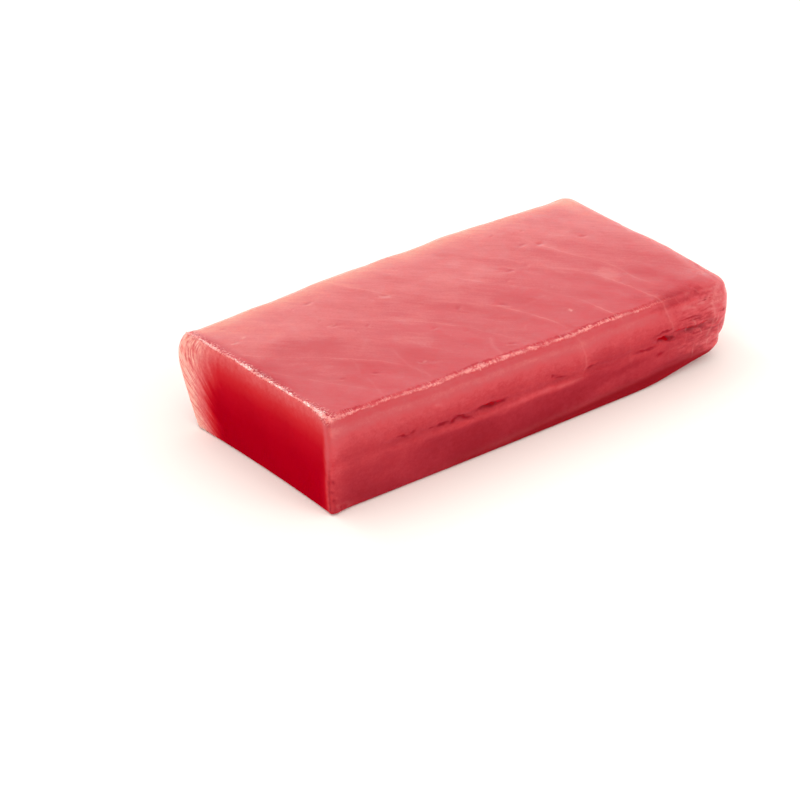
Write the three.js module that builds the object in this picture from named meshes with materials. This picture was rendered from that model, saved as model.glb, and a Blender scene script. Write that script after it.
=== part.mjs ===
// A squared block of raw tuna loin, the bar that sashimi is sliced from, lying on its flat underside.
// X runs from the fresh knife cut (-X) to the rounded natural end (+X), Y runs across the block from
// its front (-Y) to its far side, and Z is up. The origin is the centre of the block's box, on its
// underside. Millimetres.
import * as THREE from 'three';

const { clamp, lerp, smoothstep } = THREE.MathUtils;

// The squared block, before its sides swell.
const LENGTH = 157;
const WIDTH = 71.3;
const HEIGHT = 29;
const WIDTH_TAPER = 0.134; // share by which the natural end is wider than the cut end
const HEIGHT_TAPER = -0.106; // share by which it is higher: it is lower
const CUT_SKEW = -0.4; // how far the cut runs on in X, from the front to the far side
const END_SKEW = 0.9; // the same at the natural end
const SIDE_DRIFT = -1; // how far the block's middle line moves in Y from the cut to the natural end

// Rounding of the edges, as [along X, along Y, along Z].
const KNIFE_EDGE = [0.9, 1.4, 1.0]; // round the fresh cut
const FRONT_TOP = [2.4, 1.5, 2.6]; // the crisp ridge along the front
const FAR_TOP = [2.4, 2.6, 2.8];
const FRONT_BASE = [2.4, 1.8, 1.6];
const FAR_BASE = [2.4, 3.0, 3.0];
const FRONT_END_TOP = [8.5, 8.0, 5.0]; // the broad shoulder of the natural end
const FAR_END_TOP = [4.0, 4.0, 3.2];
const FRONT_END_BASE = [9.5, 8.5, 8.5];
const FAR_END_BASE = [6.0, 5.0, 5.0];
const SHOULDER_START = 0.24; // where the edges start to widen, as a share of the length from the middle
const KNIFE_REACH = 0.04; // how far the crisp edges reach from the cut, as a share of the length

// The sides swell above their middle. They tuck in at the foot, or spread where the tuck is negative.
const SWELL_SKEW = 1.7; // lifts the fullest part of a side to two thirds of its height
const TUCK_POWER = 2.7; // keeps the tuck close to the foot
const FAR_SWELL_AT_CUT = 5.4;
const FAR_SWELL_AT_END = 3.2;
const FAR_TUCK = 3.8;
const FRONT_SWELL = 1.8;
const FRONT_TUCK = -2.2;
const END_SWELL = 1.2;
const END_TUCK = 1.4;

// Faces that aren't quite flat.
const FRONT_BOW = 0.6; // the front is fullest at mid length
const CUT_HOLLOW = 0.8; // the knife cut is hollow across its width
const END_BOW = 0.5; // the natural end is bowed
const TOP_CROWN = 0.2; // the top is fuller along its middle line
const FAR_CROWN = 1.8; // and its far edge is highest at mid length

// The seam between two layers of muscle along the front, and the gapes in it: [middle, length, depth].
const SEAM_HEIGHT = 0.545; // share of the height
const SEAM_DEPTH = 0.25;
const SEAM_HALF_WIDTH = 1.1;
const SEAM_START = -68;
const SEAM_END = 78;
const SEAM_FADE = 12; // the length over which the seam comes in, and goes
const GAPES = [
  [-54.5, 6, 0.35],
  [-39, 5, 0.4],
  [-32, 7, 0.7],
  [-22.5, 7, 1.0],
  [4.5, 7, 0.5],
  [18, 5, 0.4],
  [48, 7, 1.1],
  [57.5, 8, 0.9],
  [64.5, 6, 0.5],
];

// The fold that parts the lower lobe of the natural end from the rest.
const LOBE_HEIGHT = 0.27; // share of the height
const LOBE_DEPTH = 0.9;
const LOBE_HALF_WIDTH = 1.6;
const LOBE_START = 58;

// Slow waves over the top and the sides: [height, wavelength in X, wavelength in Y, phase].
const TOP_WAVES = [
  [0.16, 53, 61, 0.6],
  [0.09, 27, -34, 2.1],
  [0.05, 13, 19, 4.0],
];
const SIDE_WAVES = [
  [0.18, 47, 37, 1.1],
  [0.1, 19, -23, 3.4],
];

// The grid that carries the surface, with closer rows at the edges and at the seam.
const CELLS = { x: 58, y: 20, z: 16 };
const EDGE_CROWDING = 0.55;
const SEAM_CROWDING = 0.6;

const FULL_TURN = 2 * Math.PI;

/** A place from 0 to 1, with the even steps crowded towards both ends. */
function crowdedToEnds(share) {
  return share - (EDGE_CROWDING * Math.sin(FULL_TURN * share)) / FULL_TURN;
}

/** A place from 0 to 1, with the even steps crowded towards both ends and the middle. */
function crowdedToSeam(share) {
  return share - (SEAM_CROWDING * Math.sin(2 * FULL_TURN * share)) / (2 * FULL_TURN);
}

/** The place of a grid corner in the squared block, from its share of each dimension. */
function inSquaredBlock(share) {
  return new THREE.Vector3(
    (crowdedToEnds(share.x) - 0.5) * LENGTH,
    (crowdedToEnds(share.y) - 0.5) * WIDTH,
    crowdedToSeam(share.z) * HEIGHT,
  );
}

/** Blends two triples of radii. */
function mixRadii(first, second, share) {
  return first.map((radius, axis) => lerp(radius, second[axis], share));
}

/** The rounding that belongs to a place in the squared block. */
function radiiAt(home) {
  const up = smoothstep(home.z, 0, HEIGHT);
  const far = smoothstep(home.y, -WIDTH / 2, WIDTH / 2);
  const toEnd = smoothstep(home.x, SHOULDER_START * LENGTH, LENGTH / 2);
  const toCut = 1 - smoothstep(home.x, -LENGTH / 2, (KNIFE_REACH - 0.5) * LENGTH);
  const side = mixRadii(mixRadii(FRONT_BASE, FRONT_TOP, up), mixRadii(FAR_BASE, FAR_TOP, up), far);
  const end = mixRadii(
    mixRadii(FRONT_END_BASE, FRONT_END_TOP, up),
    mixRadii(FAR_END_BASE, FAR_END_TOP, up),
    far,
  );
  const radii = mixRadii(mixRadii(side, end, toEnd), KNIFE_EDGE, toCut);
  return new THREE.Vector3(...radii);
}

/** Rounds the edges: returns the moved place, and the direction that points out of the block there. */
function roundEdges(home) {
  const radii = radiiAt(home);
  const half = new THREE.Vector3(LENGTH, WIDTH, HEIGHT).multiplyScalar(0.5);
  const middle = new THREE.Vector3(0, 0, HEIGHT / 2);
  const local = home.clone().sub(middle);
  const inner = half.clone().sub(radii);
  const core = local.clone().clamp(inner.clone().negate(), inner);
  const outward = local.sub(core).divide(radii).normalize();
  const place = outward.clone().multiply(radii).add(core).add(middle);
  return { place, outward };
}

/** How far a side stands out at a share of the height. */
function sideBulge(height, swell, tuck) {
  const share = clamp(height, 0, 1);
  return swell * Math.sin(Math.PI * share ** SWELL_SKEW) - tuck * (1 - share) ** TUCK_POWER;
}

/** 1 in the middle of a dimension, falling to 0 at its ends. */
function fullness(offset, size) {
  return 1 - ((2 * offset) / size) ** 2;
}

/** Swells the two long sides and the natural end. */
function swellSides(place) {
  const height = place.z / HEIGHT;
  const far = smoothstep(place.y, 0, WIDTH / 2);
  const near = smoothstep(-place.y, 0, WIDTH / 2);
  const end = smoothstep(place.x, LENGTH / 4, LENGTH / 2);
  const farSwell = lerp(FAR_SWELL_AT_CUT, FAR_SWELL_AT_END, place.x / LENGTH + 0.5);
  place.y += far * sideBulge(height, farSwell, FAR_TUCK);
  place.y -= near * sideBulge(height, FRONT_SWELL, FRONT_TUCK);
  place.y -= near * FRONT_BOW * fullness(place.x, LENGTH);
  place.x += end * sideBulge(height, END_SWELL, END_TUCK);
}

/** Hollows the knife cut and bows the natural end. */
function bendEnds(place) {
  const across = fullness(place.y, WIDTH);
  place.x += CUT_HOLLOW * across * smoothstep(-place.x, LENGTH / 4, LENGTH / 2);
  place.x += END_BOW * across * smoothstep(place.x, LENGTH / 4, LENGTH / 2);
}

/** A groove's depth at a distance from its middle line. */
function groove(distance, halfWidth, depth) {
  return depth * Math.exp(-((distance / halfWidth) ** 2));
}

/** How deep the gapes in the seam are at a place along the block. */
function gapeDepth(x) {
  const depths = GAPES.map(([middle, length, depth]) => groove(x - middle, length / 2, depth));
  return Math.max(...depths);
}

/** Presses the seam, its gapes and the lobe's fold into the front and the natural end. */
function pressSeam(place, outward) {
  const front = smoothstep(-place.y, WIDTH / 8, WIDTH / 2);
  const comesIn = smoothstep(place.x, SEAM_START, SEAM_START + SEAM_FADE);
  const goes = smoothstep(place.x, SEAM_END - SEAM_FADE, SEAM_END);
  const seamed = front * comesIn * (1 - goes);
  const fromSeam = place.z - SEAM_HEIGHT * HEIGHT;
  const seam = seamed * groove(fromSeam, SEAM_HALF_WIDTH, SEAM_DEPTH + gapeDepth(place.x));
  const lobed = smoothstep(place.x, LOBE_START, LENGTH / 2);
  const lobe = lobed * groove(place.z - LOBE_HEIGHT * HEIGHT, LOBE_HALF_WIDTH, LOBE_DEPTH);
  place.x -= outward.x * (seam + lobe);
  place.y -= outward.y * (seam + lobe);
}

/** The sum of slow waves at a place on a face. */
function waves(list, along, across) {
  return list.reduce(
    (sum, [height, first, second, phase]) =>
      sum + height * Math.sin(FULL_TURN * (along / first + across / second) + phase),
    0,
  );
}

/** Makes the sides gently uneven. */
function roughenSides(place, outward) {
  const side = waves(SIDE_WAVES, place.x + place.y, place.z) * smoothstep(place.z, 0, HEIGHT / 3);
  place.x += side * outward.x;
  place.y += side * outward.y;
}

/** Crowns the top and makes it gently uneven, and leaves the underside flat. */
function raiseTop(place) {
  const far = smoothstep(place.y, -WIDTH / 2, WIDTH / 2);
  const crown = TOP_CROWN * fullness(place.y, WIDTH) + FAR_CROWN * far * fullness(place.x, LENGTH);
  place.z *= 1 + (crown + waves(TOP_WAVES, place.x, place.y)) / HEIGHT;
}

/** Tapers and skews the block as a whole. */
function taper(place) {
  const along = place.x / LENGTH;
  const skew = lerp(CUT_SKEW, END_SKEW, along + 0.5);
  place.x += (skew * place.y) / WIDTH;
  place.y = place.y * (1 + WIDTH_TAPER * along) + SIDE_DRIFT * along;
  place.z *= 1 + HEIGHT_TAPER * along;
}

/** The place of one grid corner on the finished block. */
function onBlock(share) {
  const { place, outward } = roundEdges(inSquaredBlock(share));
  swellSides(place);
  bendEnds(place);
  pressSeam(place, outward);
  roughenSides(place, outward);
  raiseTop(place);
  taper(place);
  return place;
}

/** The closed surface of the block, standing on the origin. */
function blockGeometry() {
  const geometry = new THREE.BoxGeometry(1, 1, 1, CELLS.x, CELLS.y, CELLS.z);
  const positions = geometry.getAttribute('position');
  const share = new THREE.Vector3();
  for (let index = 0; index < positions.count; index += 1) {
    share.fromBufferAttribute(positions, index).addScalar(0.5);
    positions.setXYZ(index, ...onBlock(share));
  }
  geometry.computeBoundingBox();
  const box = geometry.boundingBox;
  geometry.translate(-(box.min.x + box.max.x) / 2, -(box.min.y + box.max.y) / 2, -box.min.z);
  geometry.computeVertexNormals();
  return geometry;
}

/** Fresh raw tuna: moist, red and slightly glossy. */
function rawTuna() {
  return new THREE.MeshStandardMaterial({ color: 0xcf5058, roughness: 0.35, metalness: 0 });
}

const tunaBlock = new THREE.Mesh(blockGeometry(), rawTuna());
tunaBlock.name = 'tuna_block';

const tuna = new THREE.Group();
tuna.add(tunaBlock);

export default tuna;
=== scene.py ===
"""A squared block of raw tuna loin with one fresh knife cut, dressed for its render.

The block repeats the form of the solid that it stands for, on a finer mesh, and adds what knife and
fish leave on it: the frayed ridge along the front, the torn rim of the cut, the gaping seam between two
layers of muscle, the pale sheets of tissue across the top, pits, strands and creases.

X runs from the knife cut (-X) to the rounded natural end (+X), Y from the front (-Y) to the far side, and
Z is up. Sizes are millimetres, and become metres where they are written into a mesh, a light or a node.
"""

import logging
from abc import ABC, abstractmethod
from dataclasses import dataclass, field
from enum import Enum
from math import cos, pi, radians, sin

import bmesh
import bpy
import numpy as np
from mathutils import Matrix, Vector

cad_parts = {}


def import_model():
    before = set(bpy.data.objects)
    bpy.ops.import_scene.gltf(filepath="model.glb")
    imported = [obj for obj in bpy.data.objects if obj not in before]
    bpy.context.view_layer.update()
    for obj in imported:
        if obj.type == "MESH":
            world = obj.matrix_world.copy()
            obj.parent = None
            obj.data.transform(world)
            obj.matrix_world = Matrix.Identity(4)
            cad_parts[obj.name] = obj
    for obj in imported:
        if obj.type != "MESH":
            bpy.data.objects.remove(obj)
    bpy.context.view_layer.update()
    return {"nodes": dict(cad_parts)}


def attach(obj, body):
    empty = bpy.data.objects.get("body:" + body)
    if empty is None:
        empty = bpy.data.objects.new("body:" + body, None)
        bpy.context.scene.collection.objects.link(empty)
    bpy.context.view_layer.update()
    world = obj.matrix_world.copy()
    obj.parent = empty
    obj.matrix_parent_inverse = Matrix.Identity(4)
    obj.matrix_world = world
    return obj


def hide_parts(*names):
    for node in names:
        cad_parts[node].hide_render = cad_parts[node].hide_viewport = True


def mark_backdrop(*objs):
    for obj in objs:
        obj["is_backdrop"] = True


LOG = logging.getLogger("raw_tuna_block")

MM = 0.001

Pair = tuple[float, float]
Triple = tuple[float, float, float]
Colour = tuple[int, int, int]
Masks = dict[str, np.ndarray]


class Axis(Enum):
    """The three directions of the block, as columns of an array of places."""

    ALONG = 0
    ACROSS = 1
    UP = 2


class Mask(Enum):
    """The maps that a relief leaves on the mesh for the material, by the name of their attribute."""

    TONE = "flesh_tone"  # 0 pale pink to 1 deep red
    FRESH = "fresh_cut"  # how far it lies on the knife cut
    DEPTH = "cut_depth"  # how deep the red of the cut is, from 0 to 1
    STRAND = "strand_across"  # distance across the curved strands of the cut, in metres
    STRAND_KEPT = "strand_kept"  # how clearly those strands show
    FROST = "frayed_pale"  # torn, whitened fibre and pale veins; the short bright strokes on the top among them are painted highlights
    GAPE = "gape_nearness"  # how near the middle of a slit it lies: 0.5 on its edge, 1 in the middle
    GAPE_RED = "gape_red"  # how much of the red inside of a slit shows
    WRINKLE_SHADING = "wrinkle_shading_kept"  # how strongly the painted light and shade of fine wrinkle lines shows
    PAINTED_GLINT = "painted_glint_kept"  # painted highlight: how brightly near-white sparkles are painted on the torn rim
    SHADE = "muted_shade"  # how far the flesh is darkened without becoming redder
    FLAKE = "flake_count"  # counts the flakes of muscle along the block, whole at each sheet of tissue
    FLAKE_SPAN = "flake_span"  # how long the flake is here, in mm
    SEPTUM_KEPT = "septum_kept"  # how clearly the nearest sheet shows
    RIDGE = "ridge_offset"  # distance over the top from the crest of the front ridge, in mm
    RIDGE_KEPT = "ridge_kept"  # how clearly the ridge shows
    RIM = "rim_offset"  # distance over the top from the rim of the knife cut, 1 where the fraying ends
    RIM_KEPT = "rim_kept"  # how frayed the rim is
    WET = "wet_sheen"  # how much of the clear film lies here


# ------------------------------------------------------------------------------------------------
# Arithmetic on arrays
# ------------------------------------------------------------------------------------------------


def smooth(value: np.ndarray, low: float, high: float) -> np.ndarray:
    """Rises smoothly from 0 at low to 1 at high."""
    share = np.clip((value - low) / (high - low), 0.0, 1.0)
    return share * share * (3.0 - 2.0 * share)


def mix(first, second, share: np.ndarray):
    """Blends two numbers or arrays by a share from 0 to 1."""
    return first + (second - first) * share


def mix_triples(first: np.ndarray, second: np.ndarray, share: np.ndarray) -> np.ndarray:
    """Blends rows of three numbers, with one share for each row."""
    return first + (second - first) * share[:, None]


def swell_of(distance: np.ndarray, half_width: float) -> np.ndarray:
    """A soft bump of height 1 that falls off on both sides of 0."""
    return np.exp(-((distance / half_width) ** 2))


def curve_through(knots: np.ndarray, at: np.ndarray) -> np.ndarray:
    """A smooth curve through knots, one value for each place asked for.

    Args:
        knots: rows of place and value, with the places rising.
        at: the places to read it at; past either end it keeps the end's value.

    Returns:
        The curve's values.
    """
    places, values = knots[:, 0], knots[:, 1]
    slopes = np.gradient(values, places)
    index = np.clip(np.searchsorted(places, at) - 1, 0, len(places) - 2)
    span = places[index + 1] - places[index]
    share = np.clip((at - places[index]) / span, 0, 1)
    rise = share**2 * (3 - 2 * share)
    lift = share * (1 - share) ** 2 * slopes[index] - share**2 * (1 - share) * slopes[index + 1]
    return mix(values[index], values[index + 1], rise) + span * lift


def distance_to_path(first: np.ndarray, second: np.ndarray, path: tuple[Pair, ...]) -> np.ndarray:
    """How far places lie from a path of straight stretches.

    Args:
        first: the places' first coordinates.
        second: their second ones.
        path: the path's corners.

    Returns:
        The distance of each place.
    """
    nearest = np.full(len(first), np.inf)
    for start, end in zip(path, path[1:]):
        run = np.array(end) - np.array(start)
        share = ((first - start[0]) * run[0] + (second - start[1]) * run[1]) / (run @ run)
        share = np.clip(share, 0, 1)
        gap = np.hypot(first - start[0] - share * run[0], second - start[1] - share * run[1])
        nearest = np.minimum(nearest, gap)
    return nearest


@dataclass(frozen=True)
class Grain:
    """Smooth random relief between -1 and 1, the same on each run.

    Attributes:
        cell: size of its cells along the three axes, in mm.
        seed: which of its many patterns it is.
    """

    cell: Triple
    seed: int

    def _lattice(self, corner: np.ndarray) -> np.ndarray:
        """The random value of each lattice corner.

        Args:
            corner: whole numbers, one row of three for each corner.

        Returns:
            One value from -1 to 1 for each corner.
        """
        key = corner.astype(np.int64)
        mixed = key[:, 0] * 73856093 ^ key[:, 1] * 19349663 ^ key[:, 2] * 83492791 ^ self.seed * 2654435761
        mixed = (mixed ^ (mixed >> 15)) * 2246822519 & 0xFFFFFFFF
        mixed = (mixed ^ (mixed >> 13)) * 3266489917 & 0xFFFFFFFF
        mixed = mixed ^ (mixed >> 16)
        return mixed / 0x7FFFFFFF - 1.0

    def at(self, places: np.ndarray) -> np.ndarray:
        """The relief at each place.

        Args:
            places: rows of x, y and z in mm.

        Returns:
            One value from -1 to 1 for each place.
        """
        scaled = places / np.array(self.cell)
        low = np.floor(scaled)
        share = scaled - low
        share = share * share * (3.0 - 2.0 * share)
        total = np.zeros(len(places))
        for step in np.ndindex(2, 2, 2):
            offset = np.array(step)
            weight = np.prod(np.where(offset == 1, share, 1.0 - share), axis=1)
            total += weight * self._lattice(low + offset)
        return total


# ------------------------------------------------------------------------------------------------
# The block's form
# ------------------------------------------------------------------------------------------------


@dataclass(frozen=True)
class Rounding:
    """How far the edges are rounded, each as (along X, along Y, along Z)."""

    knife_edge: Triple = (0.9, 1.4, 1.0)
    front_top: Triple = (2.4, 1.5, 2.6)
    far_top: Triple = (2.4, 2.6, 2.8)
    front_base: Triple = (2.4, 1.8, 1.6)
    far_base: Triple = (2.4, 3.0, 3.0)
    front_end_top: Triple = (8.5, 8.0, 5.0)
    far_end_top: Triple = (4.0, 4.0, 3.2)
    front_end_base: Triple = (9.5, 8.5, 8.5)
    far_end_base: Triple = (6.0, 5.0, 5.0)
    shoulder_start: float = 0.24  # where the edges start to widen, as a share of the length
    knife_reach: float = 0.04  # how far the crisp edges reach from the cut, as a share of the length


@dataclass(frozen=True)
class Wave:
    """A slow wave over a face."""

    height: float
    first: float  # wavelengths in the two directions of the face
    second: float
    phase: float

    def at(self, along: np.ndarray, across: np.ndarray) -> np.ndarray:
        """Its height at each place."""
        return self.height * np.sin(2 * pi * (along / self.first + across / self.second) + self.phase)


@dataclass(frozen=True)
class SeamGape:
    """A place where the seam along the front opens."""

    middle: float
    length: float
    depth: float


@dataclass(frozen=True)
class BlockForm:
    """The form of the block, the same as the solid's: every place on it is worked out from these sizes."""

    length: float = 157.0
    width: float = 71.3
    height: float = 29.0
    width_taper: float = 0.134
    height_taper: float = -0.106
    cut_skew: float = -0.4
    end_skew: float = 0.9
    side_drift: float = -1.0
    rounding: Rounding = field(default_factory=Rounding)
    swell_skew: float = 1.7
    tuck_power: float = 2.7
    far_swell_at_cut: float = 5.4
    far_swell_at_end: float = 3.2
    far_tuck: float = 3.8
    front_swell: float = 1.8
    front_tuck: float = -2.2
    end_swell: float = 1.2
    end_tuck: float = 1.4
    front_bow: float = 0.6
    cut_hollow: float = 0.8
    end_bow: float = 0.5
    top_crown: float = 0.2
    far_crown: float = 1.8
    seam_height: float = 0.545
    seam_depth: float = 0.25
    seam_half_width: float = 1.1
    seam_start: float = -68.0
    seam_end: float = 78.0
    seam_fade: float = 12.0
    lobe_height: float = 0.27
    lobe_depth: float = 0.9
    lobe_half_width: float = 1.6
    lobe_start: float = 58.0
    gapes: tuple[SeamGape, ...] = (
        SeamGape(-54.5, 6.0, 0.35),
        SeamGape(-39.0, 5.0, 0.4),
        SeamGape(-32.0, 7.0, 0.7),
        SeamGape(-22.5, 7.0, 1.0),
        SeamGape(4.5, 7.0, 0.5),
        SeamGape(18.0, 5.0, 0.4),
        SeamGape(48.0, 7.0, 1.1),
        SeamGape(57.5, 8.0, 0.9),
        SeamGape(64.5, 6.0, 0.5),
    )
    top_waves: tuple[Wave, ...] = (
        Wave(0.16, 53.0, 61.0, 0.6),
        Wave(0.09, 27.0, -34.0, 2.1),
        Wave(0.05, 13.0, 19.0, 4.0),
    )
    side_waves: tuple[Wave, ...] = (
        Wave(0.18, 47.0, 37.0, 1.1),
        Wave(0.1, 19.0, -23.0, 3.4),
    )

    @property
    def half(self) -> np.ndarray:
        """Half of the squared block's sizes."""
        return np.array([self.length, self.width, self.height]) / 2

    def _radii(self, home: np.ndarray) -> np.ndarray:
        """The rounding that belongs to each place of the squared block."""
        edges = self.rounding
        triples = {name: np.tile(getattr(edges, name), (len(home), 1)) for name in (
            "knife_edge", "front_top", "far_top", "front_base", "far_base",
            "front_end_top", "far_end_top", "front_end_base", "far_end_base",
        )}
        up = smooth(home[:, 2], 0, self.height)
        far = smooth(home[:, 1], -self.width / 2, self.width / 2)
        to_end = smooth(home[:, 0], edges.shoulder_start * self.length, self.length / 2)
        to_cut = 1 - smooth(home[:, 0], -self.length / 2, (edges.knife_reach - 0.5) * self.length)
        side = mix_triples(
            mix_triples(triples["front_base"], triples["front_top"], up),
            mix_triples(triples["far_base"], triples["far_top"], up),
            far,
        )
        end = mix_triples(
            mix_triples(triples["front_end_base"], triples["front_end_top"], up),
            mix_triples(triples["far_end_base"], triples["far_end_top"], up),
            far,
        )
        return mix_triples(mix_triples(side, end, to_end), triples["knife_edge"], to_cut)

    def _bulge(self, share: np.ndarray, swell: np.ndarray, tuck: float) -> np.ndarray:
        """How far a side stands out at a share of the height."""
        share = np.clip(share, 0, 1)
        return swell * np.sin(pi * share**self.swell_skew) - tuck * (1 - share) ** self.tuck_power

    def _fullness(self, offset: np.ndarray, size: float) -> np.ndarray:
        """1 in the middle of a dimension, falling to 0 at its ends."""
        return 1 - (2 * offset / size) ** 2

    def _round_edges(self, home: np.ndarray) -> tuple[np.ndarray, np.ndarray]:
        """Rounds the edges of the squared block.

        Args:
            home: places on the squared block, in mm.

        Returns:
            The moved places, and the direction that points out of the block at each.
        """
        radii = self._radii(home)
        middle = np.array([0, 0, self.height / 2])
        local = home - middle
        inner = self.half - radii
        core = np.clip(local, -inner, inner)
        outward = (local - core) / radii
        outward /= np.linalg.norm(outward, axis=1)[:, None]
        return outward * radii + core + middle, outward

    def _swell_sides(self, place: np.ndarray) -> None:
        """Swells the two long sides and the natural end, in place."""
        share = place[:, 2] / self.height
        far = smooth(place[:, 1], 0, self.width / 2)
        near = smooth(-place[:, 1], 0, self.width / 2)
        end = smooth(place[:, 0], self.length / 4, self.length / 2)
        swell = mix(self.far_swell_at_cut, self.far_swell_at_end, place[:, 0] / self.length + 0.5)
        place[:, 1] += far * self._bulge(share, swell, self.far_tuck)
        place[:, 1] -= near * self._bulge(share, self.front_swell, self.front_tuck)
        place[:, 1] -= near * self.front_bow * self._fullness(place[:, 0], self.length)
        place[:, 0] += end * self._bulge(share, self.end_swell, self.end_tuck)

    def _bend_ends(self, place: np.ndarray) -> None:
        """Hollows the knife cut and bows the natural end, in place."""
        across = self._fullness(place[:, 1], self.width)
        place[:, 0] += self.cut_hollow * across * smooth(-place[:, 0], self.length / 4, self.length / 2)
        place[:, 0] += self.end_bow * across * smooth(place[:, 0], self.length / 4, self.length / 2)

    def _press_seam(self, place: np.ndarray, outward: np.ndarray) -> None:
        """Presses the seam, its gapes and the lobe's fold into the front and the natural end, in place."""
        front = smooth(-place[:, 1], self.width / 8, self.width / 2)
        seamed = front * smooth(place[:, 0], self.seam_start, self.seam_start + self.seam_fade)
        seamed = seamed * (1 - smooth(place[:, 0], self.seam_end - self.seam_fade, self.seam_end))
        gapes = [gape.depth * swell_of(place[:, 0] - gape.middle, gape.length / 2) for gape in self.gapes]
        line = swell_of(place[:, 2] - self.seam_height * self.height, self.seam_half_width)
        seam = seamed * line * (self.seam_depth + np.max(gapes, axis=0))
        lobed = smooth(place[:, 0], self.lobe_start, self.length / 2)
        fold = swell_of(place[:, 2] - self.lobe_height * self.height, self.lobe_half_width)
        place[:, :2] -= outward[:, :2] * (seam + lobed * self.lobe_depth * fold)[:, None]

    def _wave_sides(self, place: np.ndarray, outward: np.ndarray) -> None:
        """Makes the sides gently uneven, in place."""
        height = sum(wave.at(place[:, 0] + place[:, 1], place[:, 2]) for wave in self.side_waves)
        height = height * smooth(place[:, 2], 0, self.height / 3)
        place[:, :2] += outward[:, :2] * height[:, None]

    def _raise_top(self, place: np.ndarray) -> None:
        """Crowns the top and makes it gently uneven, in place, and leaves the underside flat."""
        far = smooth(place[:, 1], -self.width / 2, self.width / 2)
        crown = self.top_crown * self._fullness(place[:, 1], self.width)
        crown = crown + self.far_crown * far * self._fullness(place[:, 0], self.length)
        crown = crown + sum(wave.at(place[:, 0], place[:, 1]) for wave in self.top_waves)
        place[:, 2] *= 1 + crown / self.height

    def _taper(self, place: np.ndarray) -> np.ndarray:
        """Tapers and skews the block as a whole."""
        along = place[:, 0] / self.length
        skew = mix(self.cut_skew, self.end_skew, along + 0.5)
        return np.stack(
            [
                place[:, 0] + skew * place[:, 1] / self.width,
                place[:, 1] * (1 + self.width_taper * along) + self.side_drift * along,
                place[:, 2] * (1 + self.height_taper * along),
            ],
            axis=1,
        )

    def carve(self, home: np.ndarray) -> tuple[np.ndarray, np.ndarray]:
        """Moves places of the squared block onto the finished form.

        Args:
            home: places on the squared block, in mm.

        Returns:
            The places on the form, centred over the origin, and the direction that points out at each.
        """
        place, outward = self._round_edges(home)
        self._swell_sides(place)
        self._bend_ends(place)
        self._press_seam(place, outward)
        self._wave_sides(place, outward)
        self._raise_top(place)
        place = self._taper(place)
        low, high = place.min(axis=0), place.max(axis=0)
        place -= [(low[0] + high[0]) / 2, (low[1] + high[1]) / 2, low[2]]
        return place, outward


@dataclass
class Skin:
    """Every corner of the mesh.

    Attributes:
        form: the form that it follows.
        home: its place on the squared block, in mm.
        place: its place on the form, in mm.
        outward: the direction that points out of the rounded block there.
        masks: what the reliefs have left for the material so far.
    """

    form: BlockForm
    home: np.ndarray
    place: np.ndarray
    outward: np.ndarray
    masks: Masks = field(default_factory=dict)

    @property
    def from_cut(self) -> np.ndarray:
        """Distance from the knife cut along the block."""
        return self.home[:, 0] + self.form.length / 2

    @property
    def from_front(self) -> np.ndarray:
        """Distance from the front across the block."""
        return self.home[:, 1] + self.form.width / 2

    @property
    def from_far(self) -> np.ndarray:
        """Distance from the far side across the block."""
        return self.form.width / 2 - self.home[:, 1]

    @property
    def from_end(self) -> np.ndarray:
        """Distance from the natural end along the block."""
        return self.form.length / 2 - self.home[:, 0]

    @property
    def from_top(self) -> np.ndarray:
        """Distance below the top."""
        return self.form.height - self.home[:, 2]

    @property
    def up_share(self) -> np.ndarray:
        """Height above the underside as a share of the block's height."""
        return self.home[:, 2] / self.form.height

    def facing(self, axis: Axis, sign: int, start: float = 0.25, full: float = 0.85) -> np.ndarray:
        """How far each corner belongs to one face of the block.

        Args:
            axis: the face's axis.
            sign: 1 for its positive side, -1 for its negative side.
            start: where the share starts to rise, as part of a unit outward direction.
            full: where it reaches 1.

        Returns:
            A share from 0 to 1 for each corner.
        """
        return smooth(sign * self.outward[:, axis.value], start, full)

    def along_edge(self, first: np.ndarray, second: np.ndarray) -> np.ndarray:
        """How far each corner belongs to the strips on both sides of an edge.

        Args:
            first: distance from the first of the two faces that meet in the edge.
            second: distance from the second one.

        Returns:
            1 beside the edge, falling to 0 away from it and on a third face.
        """
        beside = 1 - smooth(np.minimum(first, second), 0.3, 1.2)
        return beside * (1 - smooth(np.abs(first - second), 4.5, 6.5))

    def paint(self, mask: Mask, amount: np.ndarray) -> None:
        """Adds to one of the masks."""
        known = self.masks.get(mask.value)
        self.masks[mask.value] = amount if known is None else known + amount

    def cover(self, mask: Mask, amount: np.ndarray) -> None:
        """Raises one of the masks to an amount where that is more."""
        known = self.masks.get(mask.value)
        self.masks[mask.value] = amount if known is None else np.maximum(known, amount)


# ------------------------------------------------------------------------------------------------
# Relief
# ------------------------------------------------------------------------------------------------


class Relief(ABC):
    """Something that stands out of the surface or is pressed into it."""

    @abstractmethod
    def height(self, skin: Skin) -> np.ndarray:
        """How far each corner stands out, in mm, with the masks painted on the way."""


@dataclass(frozen=True)
class Unevenness(Relief):
    """Soft hollows and humps of living flesh, and the deeper patches of colour between them."""

    broad: Grain = Grain((23.0, 15.0, 11.0), 11)
    close: Grain = Grain((6.5, 5.0, 4.2), 12)
    fine: Grain = Grain((1.7, 1.7, 1.5), 13)
    broad_height: float = 0.09
    close_height: float = 0.06
    fine_height: float = 0.022

    def height(self, skin: Skin) -> np.ndarray:
        """See Relief."""
        calm = 1 - 0.6 * skin.facing(Axis.ALONG, -1)
        broad = self.broad.at(skin.place)
        close = self.close.at(skin.place)
        skin.paint(Mask.TONE, 0.035 * broad + 0.02 * close)
        rise = self.broad_height * broad + self.close_height * close
        return calm * rise + self.fine_height * self.fine.at(skin.place)


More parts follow.
